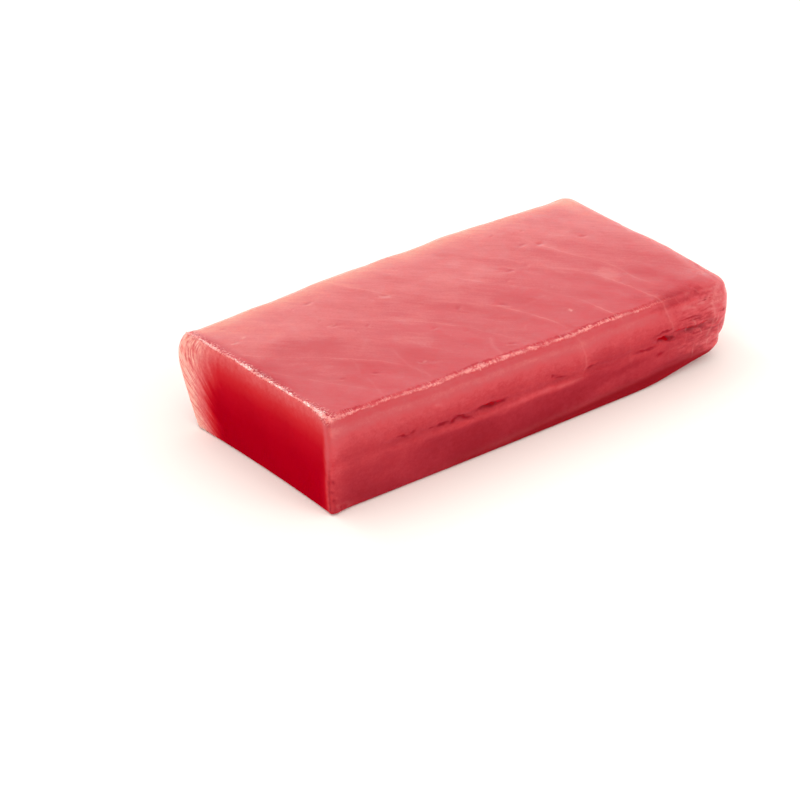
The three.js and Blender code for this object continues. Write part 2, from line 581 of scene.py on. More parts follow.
@dataclass(frozen=True)
class FrontRidge(Relief):
    """The frayed ridge that the trimming knife left along the front of the top, and the band below it."""

    centre: float = 0.1  # distance of the crest from the front edge, inwards over the top
    half_width: float = 0.46
    crest: float = 0.32
    start: float = 0.8  # it runs between these distances from the cut
    fade_from: float = 118.0
    fade_to: float = 137.0
    furrow: float = 1.25  # a fine furrow follows it on the top
    furrow_depth: float = 0.1
    band_middle: float = -1.7  # the band lies below the edge, so its distances are negative
    band_half_width: float = 1.0
    band_depth: float = 0.12
    lip: float = -3.4
    corner_widening: float = 0.9  # how much wider the ridge is beside the cut
    corner_reach: float = 9.0
    middle_widening: float = 0.35  # and how much wider it is round its middle
    middle: float = 60.0
    middle_reach: float = 22.0
    wander: Grain = Grain((6.5, 50.0, 50.0), 21)
    quiver: Grain = Grain((1.1, 50.0, 50.0), 22)
    beads: Grain = Grain((1.5, 0.8, 0.9), 23)
    shreds: Grain = Grain((0.42, 1.5, 1.5), 24)
    gaps: Grain = Grain((3.4, 50.0, 50.0), 25)

    def height(self, skin: Skin) -> np.ndarray:
        """See Relief."""
        edge = skin.from_front - skin.from_top
        near = skin.along_edge(skin.from_front, skin.from_top)
        kept = near * smooth(skin.from_cut, self.start - 0.8, self.start + 0.6)
        kept = kept * (1 - smooth(skin.from_cut, self.fade_from, self.fade_to))
        wander = self.wander.at(skin.home)
        line = edge - self.centre - 0.28 * wander - 0.28 * self.quiver.at(skin.home)
        slanted = skin.home.copy()
        slanted[:, 0] += 0.7 * edge
        beads = 0.5 + 0.5 * self.beads.at(slanted)
        shreds = 0.5 + 0.5 * self.shreds.at(slanted)
        late = smooth(skin.from_cut, 80, self.fade_to)
        gaps = smooth(self.gaps.at(skin.home), -0.6 + 0.7 * late, 0.1 + 0.6 * late)
        thin = kept * (0.45 + 0.55 * gaps)
        wide = 1 + self.corner_widening * swell_of(skin.from_cut, self.corner_reach)
        wide = wide + self.middle_widening * swell_of(skin.from_cut - self.middle, self.middle_reach)
        skin.masks[Mask.RIDGE.value] = np.clip(line / wide, -4, 4)
        skin.masks[Mask.RIDGE_KEPT.value] = thin
        body = swell_of(line, self.half_width * (0.7 + 0.6 * beads))
        crest = thin * body * (0.25 + 0.5 * beads + 0.6 * shreds**2)
        furrow = thin * swell_of(line - self.furrow, 0.45) * (0.5 + 0.5 * beads)
        band = near * swell_of(edge - self.band_middle, self.band_half_width)
        lip = near * swell_of(edge - self.lip - 0.3 * wander, 0.6) * smooth(skin.from_cut, 4, 30)
        # the lip painted paler, part of the painted light on the upper strip of the front
        skin.paint(Mask.TONE, -0.03 * lip)
        return self.crest * crest - self.furrow_depth * furrow - self.band_depth * band + 0.06 * lip


@dataclass(frozen=True)
class KnifeRim(Relief):
    """The torn rim round the knife cut, roughest along the top."""

    crest: float = 0.3  # distance of the crest from the edge, inwards over the top
    crest_half_width: float = 0.5
    crest_rise: float = 0.34
    reach: float = 2.5  # how far the fraying reaches over the top, and how much further at the corners
    corner_reach: float = 2.4
    corner_size: float = 7.0
    reach_down: float = 1.0  # how far it reaches down the cut, and how much further at the corners
    corner_down: float = 2.0
    rough_rise: float = 0.24
    side_strip: float = 1.5  # the strip where the cut runs out at its two upright edges
    painted_glints: tuple[Pair, ...] = (  # distance from the far side, and how brightly the painted highlights on the crest show there
        (0.0, 0.3),
        (8.0, 0.5),
        (17.0, 0.15),
        (24.0, 0.7),
        (32.0, 0.6),
        (38.0, 0.9),
        (50.0, 1.0),
        (54.0, 0.5),
        (60.0, 1.0),
        (67.0, 0.8),
        (71.0, 0.3),
    )
    tufts: Grain = Grain((0.8, 0.95, 0.8), 31)
    threads: Grain = Grain((1.5, 0.36, 0.45), 32)
    patches: Grain = Grain((50.0, 4.5, 50.0), 33)
    specks: Grain = Grain((1.1, 1.1, 1.7), 34)

    def height(self, skin: Skin) -> np.ndarray:
        """See Relief."""
        edge = skin.from_cut - skin.from_top
        near = skin.along_edge(skin.from_cut, skin.from_top)
        patches = self.patches.at(skin.home)
        tufts = self.tufts.at(skin.home)
        threads = self.threads.at(skin.home)
        sides = np.minimum(skin.from_front, skin.from_far + 4)
        corner = swell_of(sides, self.corner_size)
        reach = self.reach + self.corner_reach * corner + 0.5 * patches
        rim = np.where(edge > 0, edge / reach, edge / (self.reach_down + self.corner_down * corner))
        skin.masks[Mask.RIM.value] = np.clip(rim, -2, 2)
        skin.masks[Mask.RIM_KEPT.value] = near * (0.6 + 0.4 * smooth(patches, -0.8, 0.3))
        # painted highlights: near-white sparkles painted along the crest of the rim
        skin.masks[Mask.PAINTED_GLINT.value] = near * np.interp(skin.from_far, *np.array(self.painted_glints).T)
        line = edge - self.crest - 0.3 * patches
        crest = near * swell_of(line, self.crest_half_width * (1.0 + 0.4 * tufts))
        crest = crest * (0.5 + 0.28 * tufts + 0.12 * (1 + threads) ** 2) * smooth(patches, -1.0, 0.1)
        rough = near * smooth(rim, -0.9, 0.0) * (1 - smooth(rim, 0.55, 1.1))
        skin.cover(Mask.WET, np.clip(1.2 * crest + 0.7 * rough, 0, 1))
        skin.paint(Mask.TONE, 0.07 * rough * (1 + 0.5 * tufts))
        strip = np.exp(-((np.maximum(skin.from_cut, 0.8 * sides) / self.side_strip) ** 2))
        strip = strip * smooth(skin.up_share, 0.02, 0.12) * smooth(skin.from_top, 1.0, 3.5)
        specks = self.specks.at(skin.home)
        skin.paint(Mask.TONE, strip * (0.25 * smooth(specks, 0.4, 0.75) * smooth(-skin.up_share, -0.5, -0.1)))
        relief = self.crest_rise * crest + self.rough_rise * rough * (0.4 * threads + 0.3 * tufts + 0.3)
        return relief + 0.08 * strip * (1 + specks)


@dataclass(frozen=True)
class Slit:
    """One ragged slit in the flesh.

    Attributes:
        along: its middle, from the cut.
        down: its middle, from the top.
        length: how long it is.
        opening: half of how high it gapes.
        depth: how deep it goes.
        slope: how far it runs down for each mm away from the cut.
        inside: how much of its red inside shows, from 0 to 1.
    """

    along: float
    down: float
    length: float
    opening: float
    depth: float
    slope: float = 0.0
    inside: float = 0.0


@dataclass(frozen=True)
class Slits(Relief):
    """The slits where the layers of muscle have come apart along the seam, on one long side."""

    sign: int
    slits: tuple[Slit, ...]
    ragged: Grain = Grain((0.95, 9.0, 0.7), 41)
    broken: Grain = Grain((2.1, 9.0, 1.6), 42)

    def height(self, skin: Skin) -> np.ndarray:
        """See Relief."""
        facing = skin.facing(Axis.ACROSS, self.sign, 0.15, 0.6)
        ragged = self.ragged.at(skin.home)
        broken = self.broken.at(skin.home)
        depth = np.zeros(len(skin.home))
        for slit in self.slits:
            run = skin.from_cut - slit.along
            rise = skin.from_top - slit.down - slit.slope * run - 0.3 * ragged
            opening = np.maximum(slit.opening * (1 + 0.4 * broken), 0.16)
            nearness = 1 - 0.5 * np.hypot(2 * run / slit.length, rise / opening)
            hole = facing * np.clip(nearness, 0, 1)
            depth = np.maximum(depth, slit.depth * smooth(hole, 0.3, 0.9))
            skin.cover(Mask.GAPE, hole)
            skin.cover(Mask.GAPE_RED, slit.inside * smooth(hole, 0.2, 0.5))
        return -depth


@dataclass(frozen=True)
class Septum:
    """One pale sheet of tissue between two flakes of muscle.

    Attributes:
        knots: points of the line where it meets the top and then the front, each as the distance from
            the cut, the distance from the far side (over the front edge and down the front as well) and
            how clearly it shows there, from 0 to 1.
    """

    knots: tuple[Triple, ...]


@dataclass(frozen=True)
class Septa(Relief):
    """The pale curved sheets of tissue across the top and down the front, in order along the block."""

    septa: tuple[Septum, ...]
    half_width: float = 0.6
    press: float = 0.05
    slope: float = 1.25  # how much longer a gap along the block is than across the slanting sheets
    wobble: Grain = Grain((5.0, 7.0, 7.0), 51)
    breaks: Grain = Grain((7.0, 5.0, 5.0), 52)

    def height(self, skin: Skin) -> np.ndarray:
        """See Relief."""
        down = skin.from_far + np.where(skin.from_front < 1e-6, skin.from_top, 0.0)
        wobble = 0.5 * self.wobble.at(skin.home)
        tables = [np.array(septum.knots) for septum in self.septa]
        lines = [curve_through(table[:, [1, 0]], down) + wobble for table in tables]
        shown = [np.interp(down, table[:, 1], table[:, 2]) for table in tables]
        lines = np.stack([lines[0] - 30.0, *lines, lines[-1] + 30.0])
        shown = np.stack([0 * down, *shown, 0 * down])
        here = np.clip((lines < skin.from_cut).sum(axis=0) - 1, 0, len(lines) - 2)
        row = np.arange(len(down))
        span = np.maximum(lines[here + 1, row] - lines[here, row], 0.5)
        share = np.clip((skin.from_cut - lines[here, row]) / span, 0, 1)
        kept = np.where(share < 0.5, shown[here, row], shown[here + 1, row])
        kept = kept * (0.25 + 0.75 * smooth(self.breaks.at(skin.home), -0.5, 0.4))
        lies_on = np.maximum(skin.facing(Axis.UP, 1, 0.2, 0.6), skin.facing(Axis.ACROSS, -1, 0.2, 0.6))
        kept = kept * lies_on * (1 - skin.facing(Axis.ALONG, -1, 0.2, 0.6))
        skin.masks[Mask.FLAKE.value] = here + share
        skin.masks[Mask.FLAKE_SPAN.value] = span / self.slope
        skin.masks[Mask.SEPTUM_KEPT.value] = kept
        gap = np.minimum(share, 1 - share) * span / self.slope
        return -self.press * kept * swell_of(gap, self.half_width)


@dataclass(frozen=True)
class Patch:
    """A soft patch of deeper or paler flesh.

    Attributes:
        along: its middle, from the cut.
        across: its middle, from the far side on the top or from the top on the front.
        half_length: half its length.
        half_width: half its width.
        turn: how far it is turned from the block's length, in degrees.
        tone: how much deeper it is, or paler where negative.
    """

    along: float
    across: float
    half_length: float
    half_width: float
    turn: float
    tone: float


@dataclass(frozen=True)
class Patches(Relief):
    """The soft patches of colour on the top and on the front: they add no height."""

    on_top: tuple[Patch, ...]
    on_front: tuple[Patch, ...]
    warp: Grain = Grain((5.5, 5.5, 5.5), 56)
    ripple: Grain = Grain((2.4, 2.4, 2.4), 57)

    def _tones(self, patches: tuple[Patch, ...], along: np.ndarray, across: np.ndarray) -> np.ndarray:
        """How much deeper the flesh is at each place of one face."""
        total = np.zeros(len(along))
        for patch in patches:
            turn = radians(patch.turn)
            x, y = along - patch.along, across - patch.across
            first = (x * cos(turn) + y * sin(turn)) / patch.half_length
            second = (y * cos(turn) - x * sin(turn)) / patch.half_width
            total += patch.tone * (1 - smooth(np.hypot(first, second), 0.45, 1.35))
        return total

    def height(self, skin: Skin) -> np.ndarray:
        """See Relief."""
        shift = 2.0 * self.warp.at(skin.home) + 0.7 * self.ripple.at(skin.home)
        top = skin.facing(Axis.UP, 1, 0.3, 0.9)
        front = skin.facing(Axis.ACROSS, -1, 0.3, 0.9)
        on_top = top * self._tones(self.on_top, skin.from_cut + shift, skin.from_far - shift)
        deeper = np.maximum(on_top, 0)
        skin.paint(Mask.TONE, on_top - 0.5 * deeper)
        skin.paint(Mask.SHADE, 0.6 * deeper)
        skin.paint(Mask.TONE, front * self._tones(self.on_front, skin.from_cut + shift, skin.from_top))
        return np.zeros(len(skin.home))


@dataclass(frozen=True)
class Vein:
    """A short pale mark, vein, scratch and painted highlight alike: its path as places on its face, and how
    clearly it shows.
    """

    path: tuple[Pair, ...]
    strength: float


@dataclass(frozen=True)
class Veins(Relief):
    """The short pale veins on the top and on the front, and the short painted highlights on the top."""

    on_top: tuple[Vein, ...]
    on_front: tuple[Vein, ...]
    half_width: float = 0.42
    press: float = 0.03
    wobble: Grain = Grain((3.0, 3.0, 3.0), 58)

    def height(self, skin: Skin) -> np.ndarray:
        """See Relief."""
        shift = 0.45 * self.wobble.at(skin.home)
        top = skin.facing(Axis.UP, 1, 0.3, 0.9)
        front = skin.facing(Axis.ACROSS, -1, 0.3, 0.9)
        rise = np.zeros(len(skin.home))
        for veins, face, across in ((self.on_top, top, skin.from_far), (self.on_front, front, skin.from_top)):
            for vein in veins:
                gap = distance_to_path(skin.from_cut + shift, across + shift, vein.path)
                line = face * vein.strength * swell_of(gap, self.half_width)
                skin.cover(Mask.FROST, line)
                rise = rise - self.press * line
        return rise


@dataclass(frozen=True)
class Pits(Relief):
    """Small pits and nicks in the top."""

    seed: int = 61
    count: int = 26
    placed: tuple[Triple, ...] = (  # from the cut, from the far side, size
        (59.3, 21.3, 1.5),
        (35.2, 26.8, 1.2),
        (58.4, 45.8, 1.0),
        (84.8, 46.2, 1.4),
        (27.5, 56.8, 1.1),
        (121.3, 22.8, 1.5),
        (42.6, 59.8, 1.0),
        (101.2, 31.4, 1.3),
        (72.0, 40.5, 1.3),
        (38.2, 10.2, 1.2),
        (6.3, 16.2, 0.9),
        (116.2, 20.4, 1.6),
        (136.7, 26.5, 1.2),
        (70.5, 66.0, 1.3),
        (17.6, 53.8, 0.8),
        (43.5, 33.0, 0.9),
    )
    depth: float = 0.19

    def height(self, skin: Skin) -> np.ndarray:
        """See Relief."""
        dice = np.random.default_rng(self.seed)
        pits = list(self.placed)
        for _ in range(self.count):
            pits.append((dice.uniform(6, 150), dice.uniform(5, 66), dice.uniform(0.45, 0.8)))
        top = skin.facing(Axis.UP, 1, 0.6, 0.95)
        rise = np.zeros(len(skin.home))
        for along, from_far, size in pits:
            turn = dice.uniform(-0.5, 0.9)
            x = skin.from_cut - along
            y = skin.from_far - from_far
            first = (x * cos(turn) + y * sin(turn)) / size
            second = (y * cos(turn) - x * sin(turn)) / (0.55 * size)
            hole = np.exp(-(first**2) - second**2)
            lip = np.exp(-(first**2) - (second - 1.7) ** 2)
            rise += min(size, 1.3) * self.depth * (0.55 * lip - hole)
            # each pit is painted darker, as painted shade in it, and its lip paler, as a painted highlight
            skin.paint(Mask.TONE, top * (0.13 * hole - 0.1 * lip))
        return top * rise


@dataclass(frozen=True)
class CutStrands(Relief):
    """The knife cut: deep red in the middle, paler along the top, with curved strands beside its far side."""

    depths: tuple[Pair, ...] = (  # distance below the top, and how deep the red is there
        (0.0, 0.3),
        (1.0, 0.37),
        (2.2, 0.43),
        (4.0, 0.55),
        (6.5, 0.71),
        (10.0, 0.84),
        (14.0, 0.93),
        (18.0, 0.99),
        (22.0, 1.0),
    )
    pale_until: Pair = (5.0, 3.0)  # from the far side, the flesh is pale to here: at the top, and low down
    deep_from: Pair = (20.0, 17.0)  # and deep red from here
    palest: float = 0.2  # how much deeper the red is from where it is pale than at the far edge itself
    near_depths: tuple[Pair, ...] = (  # distance from the front, and how deep the red is there at most
        (0.0, 0.36),
        (1.2, 0.43),
        (2.0, 0.53),
        (2.8, 0.64),
        (3.8, 0.8),
        (5.0, 0.93),
        (7.0, 1.0),
    )
    edge_tones: tuple[Pair, ...] = (  # distance below the top, and the muted tone beside the front
        (0.0, 0.45),
        (3.0, 0.5),
        (8.0, 0.57),
        (14.0, 0.58),
        (16.0, 0.64),
        (18.0, 0.78),
        (29.0, 0.84),
    )
    reach: float = 14.0
    strands: Grain = Grain((50.0, 1.5, 7.5), 71)
    threads: Grain = Grain((50.0, 0.62, 3.4), 72)
    drag: Grain = Grain((50.0, 9.0, 0.8), 73)

    def height(self, skin: Skin) -> np.ndarray:
        """See Relief."""
        cut = skin.facing(Axis.ALONG, -1, 0.55, 0.95)
        down = skin.from_top
        swirl = skin.home.copy()
        swirl[:, 1] += 0.035 * down**2 - 0.1 * down
        strands = self.strands.at(swirl)
        threads = self.threads.at(swirl)
        low = smooth(down, 9, 20)
        reach = self.reach * (1 - 0.35 * low)
        shown = cut * (1 - smooth(skin.from_far, 0.3 * reach, reach))
        inward = skin.from_far - (2.4 * strands + 1.6 * threads) * smooth(skin.from_far, 1, 6)
        start, full = mix(*self.pale_until, low), mix(*self.deep_from, low)
        from_far = smooth((inward - start) / (full - start), 0.0, 1.0)
        depth = np.interp(down, *np.array(self.depths).T) * from_far
        narrower = smooth(down, 10, 17)
        depth = np.minimum(depth, np.interp(skin.from_front + 1.3 * narrower, *np.array(self.near_depths).T))
        cut_side = np.clip(-skin.outward[:, 0], 0, 1) ** 2
        muted = 1 - smooth(skin.from_front - 0.5 * threads, 0.9 - 0.3 * narrower, 4.2 - 1.4 * narrower)
        skin.paint(Mask.TONE, cut * muted * (np.interp(down, *np.array(self.edge_tones).T) - 0.5))
        skin.masks[Mask.FRESH.value] = smooth(cut_side, 0.2, 0.8) * (1 - muted)
        skin.masks[Mask.DEPTH.value] = np.clip(depth, 0, 1) + self.palest * smooth(inward, -1, 6)
        skin.masks[Mask.STRAND.value] = swirl[:, 1] * MM
        skin.masks[Mask.STRAND_KEPT.value] = shown
        skin.cover(Mask.WET, 0.5 * shown * smooth(strands + threads, -0.6, 0.8))
        return shown * (0.16 * strands + 0.14 * threads) + cut * 0.035 * self.drag.at(skin.home)


@dataclass(frozen=True)
class EndCreases(Relief):
    """The creases, small cracks and bumps of the natural end and of the corner in front of it."""

    creases: Grain = Grain((9.0, 9.0, 1.25), 81)
    cracks: Grain = Grain((2.6, 2.6, 0.7), 82)
    bumps: Grain = Grain((2.1, 2.1, 2.6), 83)
    veins: Grain = Grain((3.4, 5.0, 4.0), 84)
    start: float = 124.0
    droop: float = 1.1  # how far the shoulder in front has sunk
    droop_from_end: Pair = (3.0, 7.0)  # its middle and half of its length
    droop_from_front: Pair = (8.0, 8.0)  # its middle and half of its width

    def _shoulder(self, skin: Skin) -> np.ndarray:
        """How far each corner belongs to the shoulder that has sunk, from 0 to 1."""
        middle, reach = self.droop_from_end
        along = swell_of(skin.from_end - middle, reach)
        middle, reach = self.droop_from_front
        return along * swell_of(skin.from_front - middle, reach) * skin.facing(Axis.UP, 1, 0.1, 0.7)

    def height(self, skin: Skin) -> np.ndarray:
        """See Relief."""
        side = np.maximum(skin.facing(Axis.ALONG, 1, 0.2, 0.8), skin.facing(Axis.ACROSS, -1, 0.3, 0.8))
        here = side * smooth(skin.from_cut, self.start, 148) * smooth(skin.up_share, 0.1, 0.3)
        here = here * (1 - 0.3 * smooth(skin.up_share, 0.84, 0.97))
        crease = smooth(-self.creases.at(skin.place), 0.1, 0.75)
        crack = smooth(-self.cracks.at(skin.place), 0.1, 0.7)
        bumps = self.bumps.at(skin.place)
        veins = self.veins.at(skin.place)
        # painted shade in the creases and cracks, and a painted highlight on the bumps
        skin.paint(Mask.TONE, here * (0.1 * crease * crack - 0.05 * bumps))
        skin.cover(Mask.FROST, here * swell_of(veins, 0.06) * smooth(bumps, -0.4, 0.6) * 0.3)
        # where the painted light and shade of fine wrinkle lines shows
        skin.cover(Mask.WRINKLE_SHADING, here * (1 - 0.45 * skin.facing(Axis.ALONG, 1, 0.7, 0.97)))
        skin.cover(Mask.WET, 0.6 * here)
        relief = here * (0.1 * bumps - 0.12 * crease - 0.1 * crease * crack)
        return relief - self.droop * self._shoulder(skin)


@dataclass(frozen=True)
class Foot(Relief):
    """The foot of the front: a thin pale lip pressed out by the weight, and the fold under it, painted dark as
    shade.
    """

    line: tuple[Pair, ...] = (  # distance from the cut, and how far below the top the lip runs there
        (0.0, 28.3),
        (50.0, 27.3),
        (80.0, 26.2),
        (120.0, 24.6),
        (150.0, 23.4),
    )
    rise: float = 0.08
    flap_rise: float = 0.8  # a torn flap stands out at the corner under the knife cut
    flap_length: float = 3.6
    wander: Grain = Grain((8.0, 50.0, 50.0), 91)
    tears: Grain = Grain((1.3, 1.3, 0.9), 92)

    def height(self, skin: Skin) -> np.ndarray:
        """See Relief."""
        front = skin.facing(Axis.ACROSS, -1, 0.2, 0.7)
        wander = self.wander.at(skin.home)
        below = skin.from_top - np.interp(skin.from_cut, *np.array(self.line).T) - 0.3 * wander
        lip = front * swell_of(below + 0.6, 0.9) * smooth(skin.from_cut, 20, 60)
        fold = front * smooth(below, -0.6, 1.2)
        skin.cover(Mask.FROST, 0.04 * lip * (0.7 + 0.3 * wander))
        # painted shade in the fold at the foot, deepening towards the natural end where the block overhangs
        skin.paint(Mask.TONE, fold * (0.08 + 0.2 * smooth(skin.from_cut, 40, 110)))
        tears = self.tears.at(skin.home)
        flap = skin.facing(Axis.ACROSS, -1, 0.1, 0.5) * swell_of(skin.from_cut - 1.5, self.flap_length)
        flap = flap * swell_of(skin.home[:, 2] - 1.2, 1.5) * smooth(tears, -0.7, 0.3)
        skin.cover(Mask.FROST, 0.4 * flap * smooth(tears, 0.1, 0.7))
        return self.rise * (lip - 0.8 * fold) + self.flap_rise * flap


@dataclass(frozen=True)
class Nicks(Relief):
    """The small holes that the knife left beside the upright edge in front, each painted darker as shade in it,
    with a paler lip.
    """

    placed: tuple[Triple, ...] = (  # from the cut, from the top, size
        (0.8, 18.8, 0.5),
        (0.5, 21.9, 0.4),
        (1.0, 24.6, 0.55),
    )
    depth: float = 0.2

    def height(self, skin: Skin) -> np.ndarray:
        """See Relief."""
        front = skin.facing(Axis.ACROSS, -1, 0.2, 0.6)
        rise = np.zeros(len(skin.home))
        for along, down, size in self.placed:
            x = (skin.from_cut - along) / size
            y = (skin.from_top - down) / (0.8 * size)
            hole = front * np.exp(-(x**2) - y**2)
            lip = front * np.exp(-((x - 1.2) ** 2) - (y + 1.1) ** 2)
            rise += self.depth * (0.4 * lip - hole)
            # painted shade in each hole, and a paler lip
            skin.paint(Mask.TONE, 0.24 * hole - 0.1 * lip)
        return rise


@dataclass(frozen=True)
class Colouring(Relief):
    """The tone of the flesh by place: it adds no height, only masks.

    The tones go from 0, pale, past 1, deep red. Those of the top go with the distance from the far side,
    those of the other faces with the distance below the top.
    """

    # The top is palest at its thin far edge: a painted glow of the light that comes through the edge from behind.
    top_tones: tuple[Pair, ...] = (
        (0.0, 0.0),
        (3.5, 0.06),
        (7.0, 0.2),
        (12.5, 0.3),
        (23.0, 0.35),
        (40.0, 0.42),
        (57.0, 0.49),
        (71.3, 0.5),
    )
    # Down the front: a deeper band just under the edge, painted shade where the rounded edge takes no sheen, a
    # paler strip under it, painted light, a paler strip above the painted shade of the step in the middle, and
    # deeper towards the foot, painted shade.
    front_tones: tuple[Pair, ...] = (
        (0.0, 0.48),
        (1.0, 0.5),
        (2.3, 0.56),
        (3.3, 0.46),
        (4.3, 0.43),
        (6.5, 0.6),
        (10.0, 0.71),
        (13.0, 0.8),
        (15.3, 0.74),
        (18.0, 0.84),
        (24.0, 0.9),
        (29.0, 1.0),
    )
    near_cut_tones: tuple[Pair, ...] = (  # the front beside the cut: how much paler it is there
        (0.0, 0.26),
        (3.0, 0.18),
        (6.0, 0.1),
        (9.0, 0.12),
        (15.0, 0.14),
        (20.0, 0.13),
        (24.0, 0.14),
        (26.5, 0.16),
        (29.0, 0.1),
    )
    near_cut_reach: float = 7.5
    # the far side: palest at its top edge, carrying on the painted glow of the top's far edge, and deeper towards
    # the floor
    far_tones: tuple[Pair, ...] = ((0.0, 0.08), (2.5, 0.24), (7.0, 0.44), (16.0, 0.64), (29.0, 0.85))
    end_tones: tuple[Pair, ...] = (
        (0.0, 0.36),
        (4.0, 0.48),
        (12.0, 0.56),
        (16.0, 0.6),
        (19.0, 0.48),
        (22.0, 0.34),
        (29.0, 0.78),
    )
    ledge_shade: Triple = (16.2, 17.3, 0.1)  # where the front turns deeper along its middle, and how much: painted shade under a step that the mesh does not have
    ledge_shade_wander: Grain = Grain((14.0, 50.0, 50.0), 96)
    ledge_shade_ripple: Grain = Grain((4.2, 50.0, 50.0), 97)

    def height(self, skin: Skin) -> np.ndarray:
        """See Relief."""
        faces = {
            "top": np.clip(skin.outward[:, 2], 0, 1) ** 2,
            "under": np.clip(-skin.outward[:, 2], 0, 1) ** 2,
            "front": np.clip(-skin.outward[:, 1], 0, 1) ** 2,
            "far": np.clip(skin.outward[:, 1], 0, 1) ** 2,
            "end": np.clip(skin.outward[:, 0], 0, 1) ** 2,
            "cut": np.clip(-skin.outward[:, 0], 0, 1) ** 2,
        }
        down = skin.from_top
        top = np.interp(skin.from_far, *np.array(self.top_tones).T)
        top = top + 0.17 * (1 - smooth(skin.from_cut, 1.8, 4.5)) * (1 - smooth(skin.from_far, 40, 62))
        top = top - 0.14 * smooth(skin.from_cut, 143, 154) * smooth(skin.from_front, 4, 12)
        near_cut = 1 - smooth(skin.from_cut, 0.0, self.near_cut_reach)
        top = top - 0.16 * near_cut * (1 - smooth(skin.from_front, 0.4, 3))
        skin.paint(Mask.SHADE, 0.06 * faces["top"] * smooth(skin.from_far, 33, 58))
        front = np.interp(down, *np.array(self.front_tones).T)
        start, full, rise = self.ledge_shade
        wander = 0.9 * self.ledge_shade_wander.at(skin.home) + 0.5 * self.ledge_shade_ripple.at(skin.home)
        # painted shade below the step along the middle of the front
        ledge_shade = smooth(down + wander, start, full)
        front = front + rise * ledge_shade * smooth(skin.from_cut, 30, 48) * (1 - smooth(skin.from_cut, 108, 130))
        front = front - near_cut * np.interp(down, *np.array(self.near_cut_tones).T)
        edge = skin.along_edge(skin.from_front, down) * swell_of(skin.from_front - down - 0.4, 3.2)
        corner = smooth(skin.from_cut, 118, 130) * (1 - smooth(skin.from_cut, 142, 150))
        # the underside is deep, as painted shade where it curves away under the foot
        tone = faces["top"] * top + faces["front"] * front + 0.9 * faces["under"] + 0.22 * edge * corner
        tone = tone + faces["far"] * np.interp(down, *np.array(self.far_tones).T)
        tone = tone + faces["end"] * np.interp(down, *np.array(self.end_tones).T)
        skin.paint(Mask.TONE, tone + faces["cut"] * 0.5)
        wet = 0.5 * faces["top"] + 0.25 * faces["front"] * smooth(skin.up_share, 0.4, 0.9)
        skin.cover(Mask.WET, wet + 0.35 * faces["far"] + 0.35 * faces["end"])
        return np.zeros(len(skin.home))


# ------------------------------------------------------------------------------------------------
# The block
# ------------------------------------------------------------------------------------------------


@dataclass(frozen=True)
class GridPlan:
    """How finely the faces of the block are divided."""

    columns: tuple[int, int] = (3, 84)  # pieces along the block, and what each is split into again
    rows: tuple[int, int] = (2, 48)
    tiers: tuple[int, int] = (1, 44)
    crowd_along: float = 0.3
    crowd_across: float = 0.5
    crowd_up: float = 0.35

    @staticmethod
    def _to_ends(share: np.ndarray, crowding: float) -> np.ndarray:
        """Even steps from 0 to 1, crowded towards both ends."""
        return share - crowding * np.sin(2 * pi * share) / (2 * pi)

    def on_squared_block(self, share: np.ndarray, form: BlockForm) -> np.ndarray:
        """The places on the squared block that belong to shares of its three sizes.

        Args:
            share: rows of three shares from 0 to 1.
            form: the form whose sizes are used.

        Returns:
            Rows of x, y and z in mm.
        """
        return np.stack(
            [
                (self._to_ends(share[:, 0], self.crowd_along) - 0.5) * form.length,
                (self._to_ends(share[:, 1], self.crowd_across) - 0.5) * form.width,
                self._to_ends(share[:, 2], self.crowd_up) * form.height,
            ],
            axis=1,
        )


FRONT_SLITS = (
    Slit(25.0, 12.5, 3.0, 0.22, 0.3, 0.12),
    Slit(28.6, 12.2, 1.3, 0.34, 0.3, -0.3),
    Slit(35.4, 13.0, 1.4, 0.3, 0.2),
    Slit(39.6, 13.2, 3.4, 0.34, 0.4),
    Slit(43.6, 13.4, 2.4, 0.45, 0.4, -0.3, 0.1),
    Slit(46.9, 13.4, 5.2, 0.5, 0.5, 0.42, 0.2),
    Slit(56.0, 12.9, 7.6, 0.62, 0.9, 0.05, 1.0),
    Slit(61.3, 12.9, 3.6, 0.4, 0.4, -0.1),
    Slit(81.2, 11.0, 3.4, 0.25, 0.3, 0.3),
    Slit(84.0, 12.3, 3.4, 0.32, 0.4, 0.2),
    Slit(96.6, 12.6, 3.4, 0.34, 0.35),
    Slit(118.6, 14.5, 6.4, 0.3, 0.35, 0.06),
    Slit(125.6, 10.6, 6.4, 0.3, 0.4, -0.08),
    Slit(127.0, 13.4, 6.4, 0.66, 1.0, 0.24, 1.0),
    Slit(131.6, 11.8, 4.4, 0.26, 0.3, -0.04),
    Slit(125.2, 18.2, 2.6, 0.5, 0.3),
    Slit(136.2, 12.6, 8.4, 0.44, 0.5, 0.16, 0.9),
    Slit(136.0, 8.6, 6.4, 0.24, 0.2, 0.08),
    Slit(138.5, 9.8, 4.4, 0.24, 0.2),
    Slit(142.8, 12.3, 4.8, 0.42, 0.2, -0.12, 1.0),
    Slit(144.5, 15.2, 3.8, 0.22, 0.2, 0.15),
    Slit(139.6, 14.9, 3.6, 0.2, 0.2, 0.1),
    Slit(150.2, 10.4, 3.4, 0.3, 0.3),
    Slit(143.5, 4.2, 4.4, 0.24, 0.2, -0.1),
)

FAR_SLITS = (
    Slit(26.5, 15.6, 5.0, 0.3, 0.5, -0.03, 0.2),
    Slit(31.5, 15.1, 2.6, 0.26, 0.3, 0.2),
    Slit(70.5, 15.4, 6.4, 0.42, 0.8, 0.03, 0.7),
    Slit(76.0, 14.9, 3.0, 0.28, 0.3, -0.1),
    Slit(84.5, 15.6, 2.2, 0.24, 0.2),
    Slit(118.5, 15.3, 5.4, 0.34, 0.5, -0.04, 0.3),
    Slit(136.5, 13.8, 3.4, 0.28, 0.3, 0.1),
)

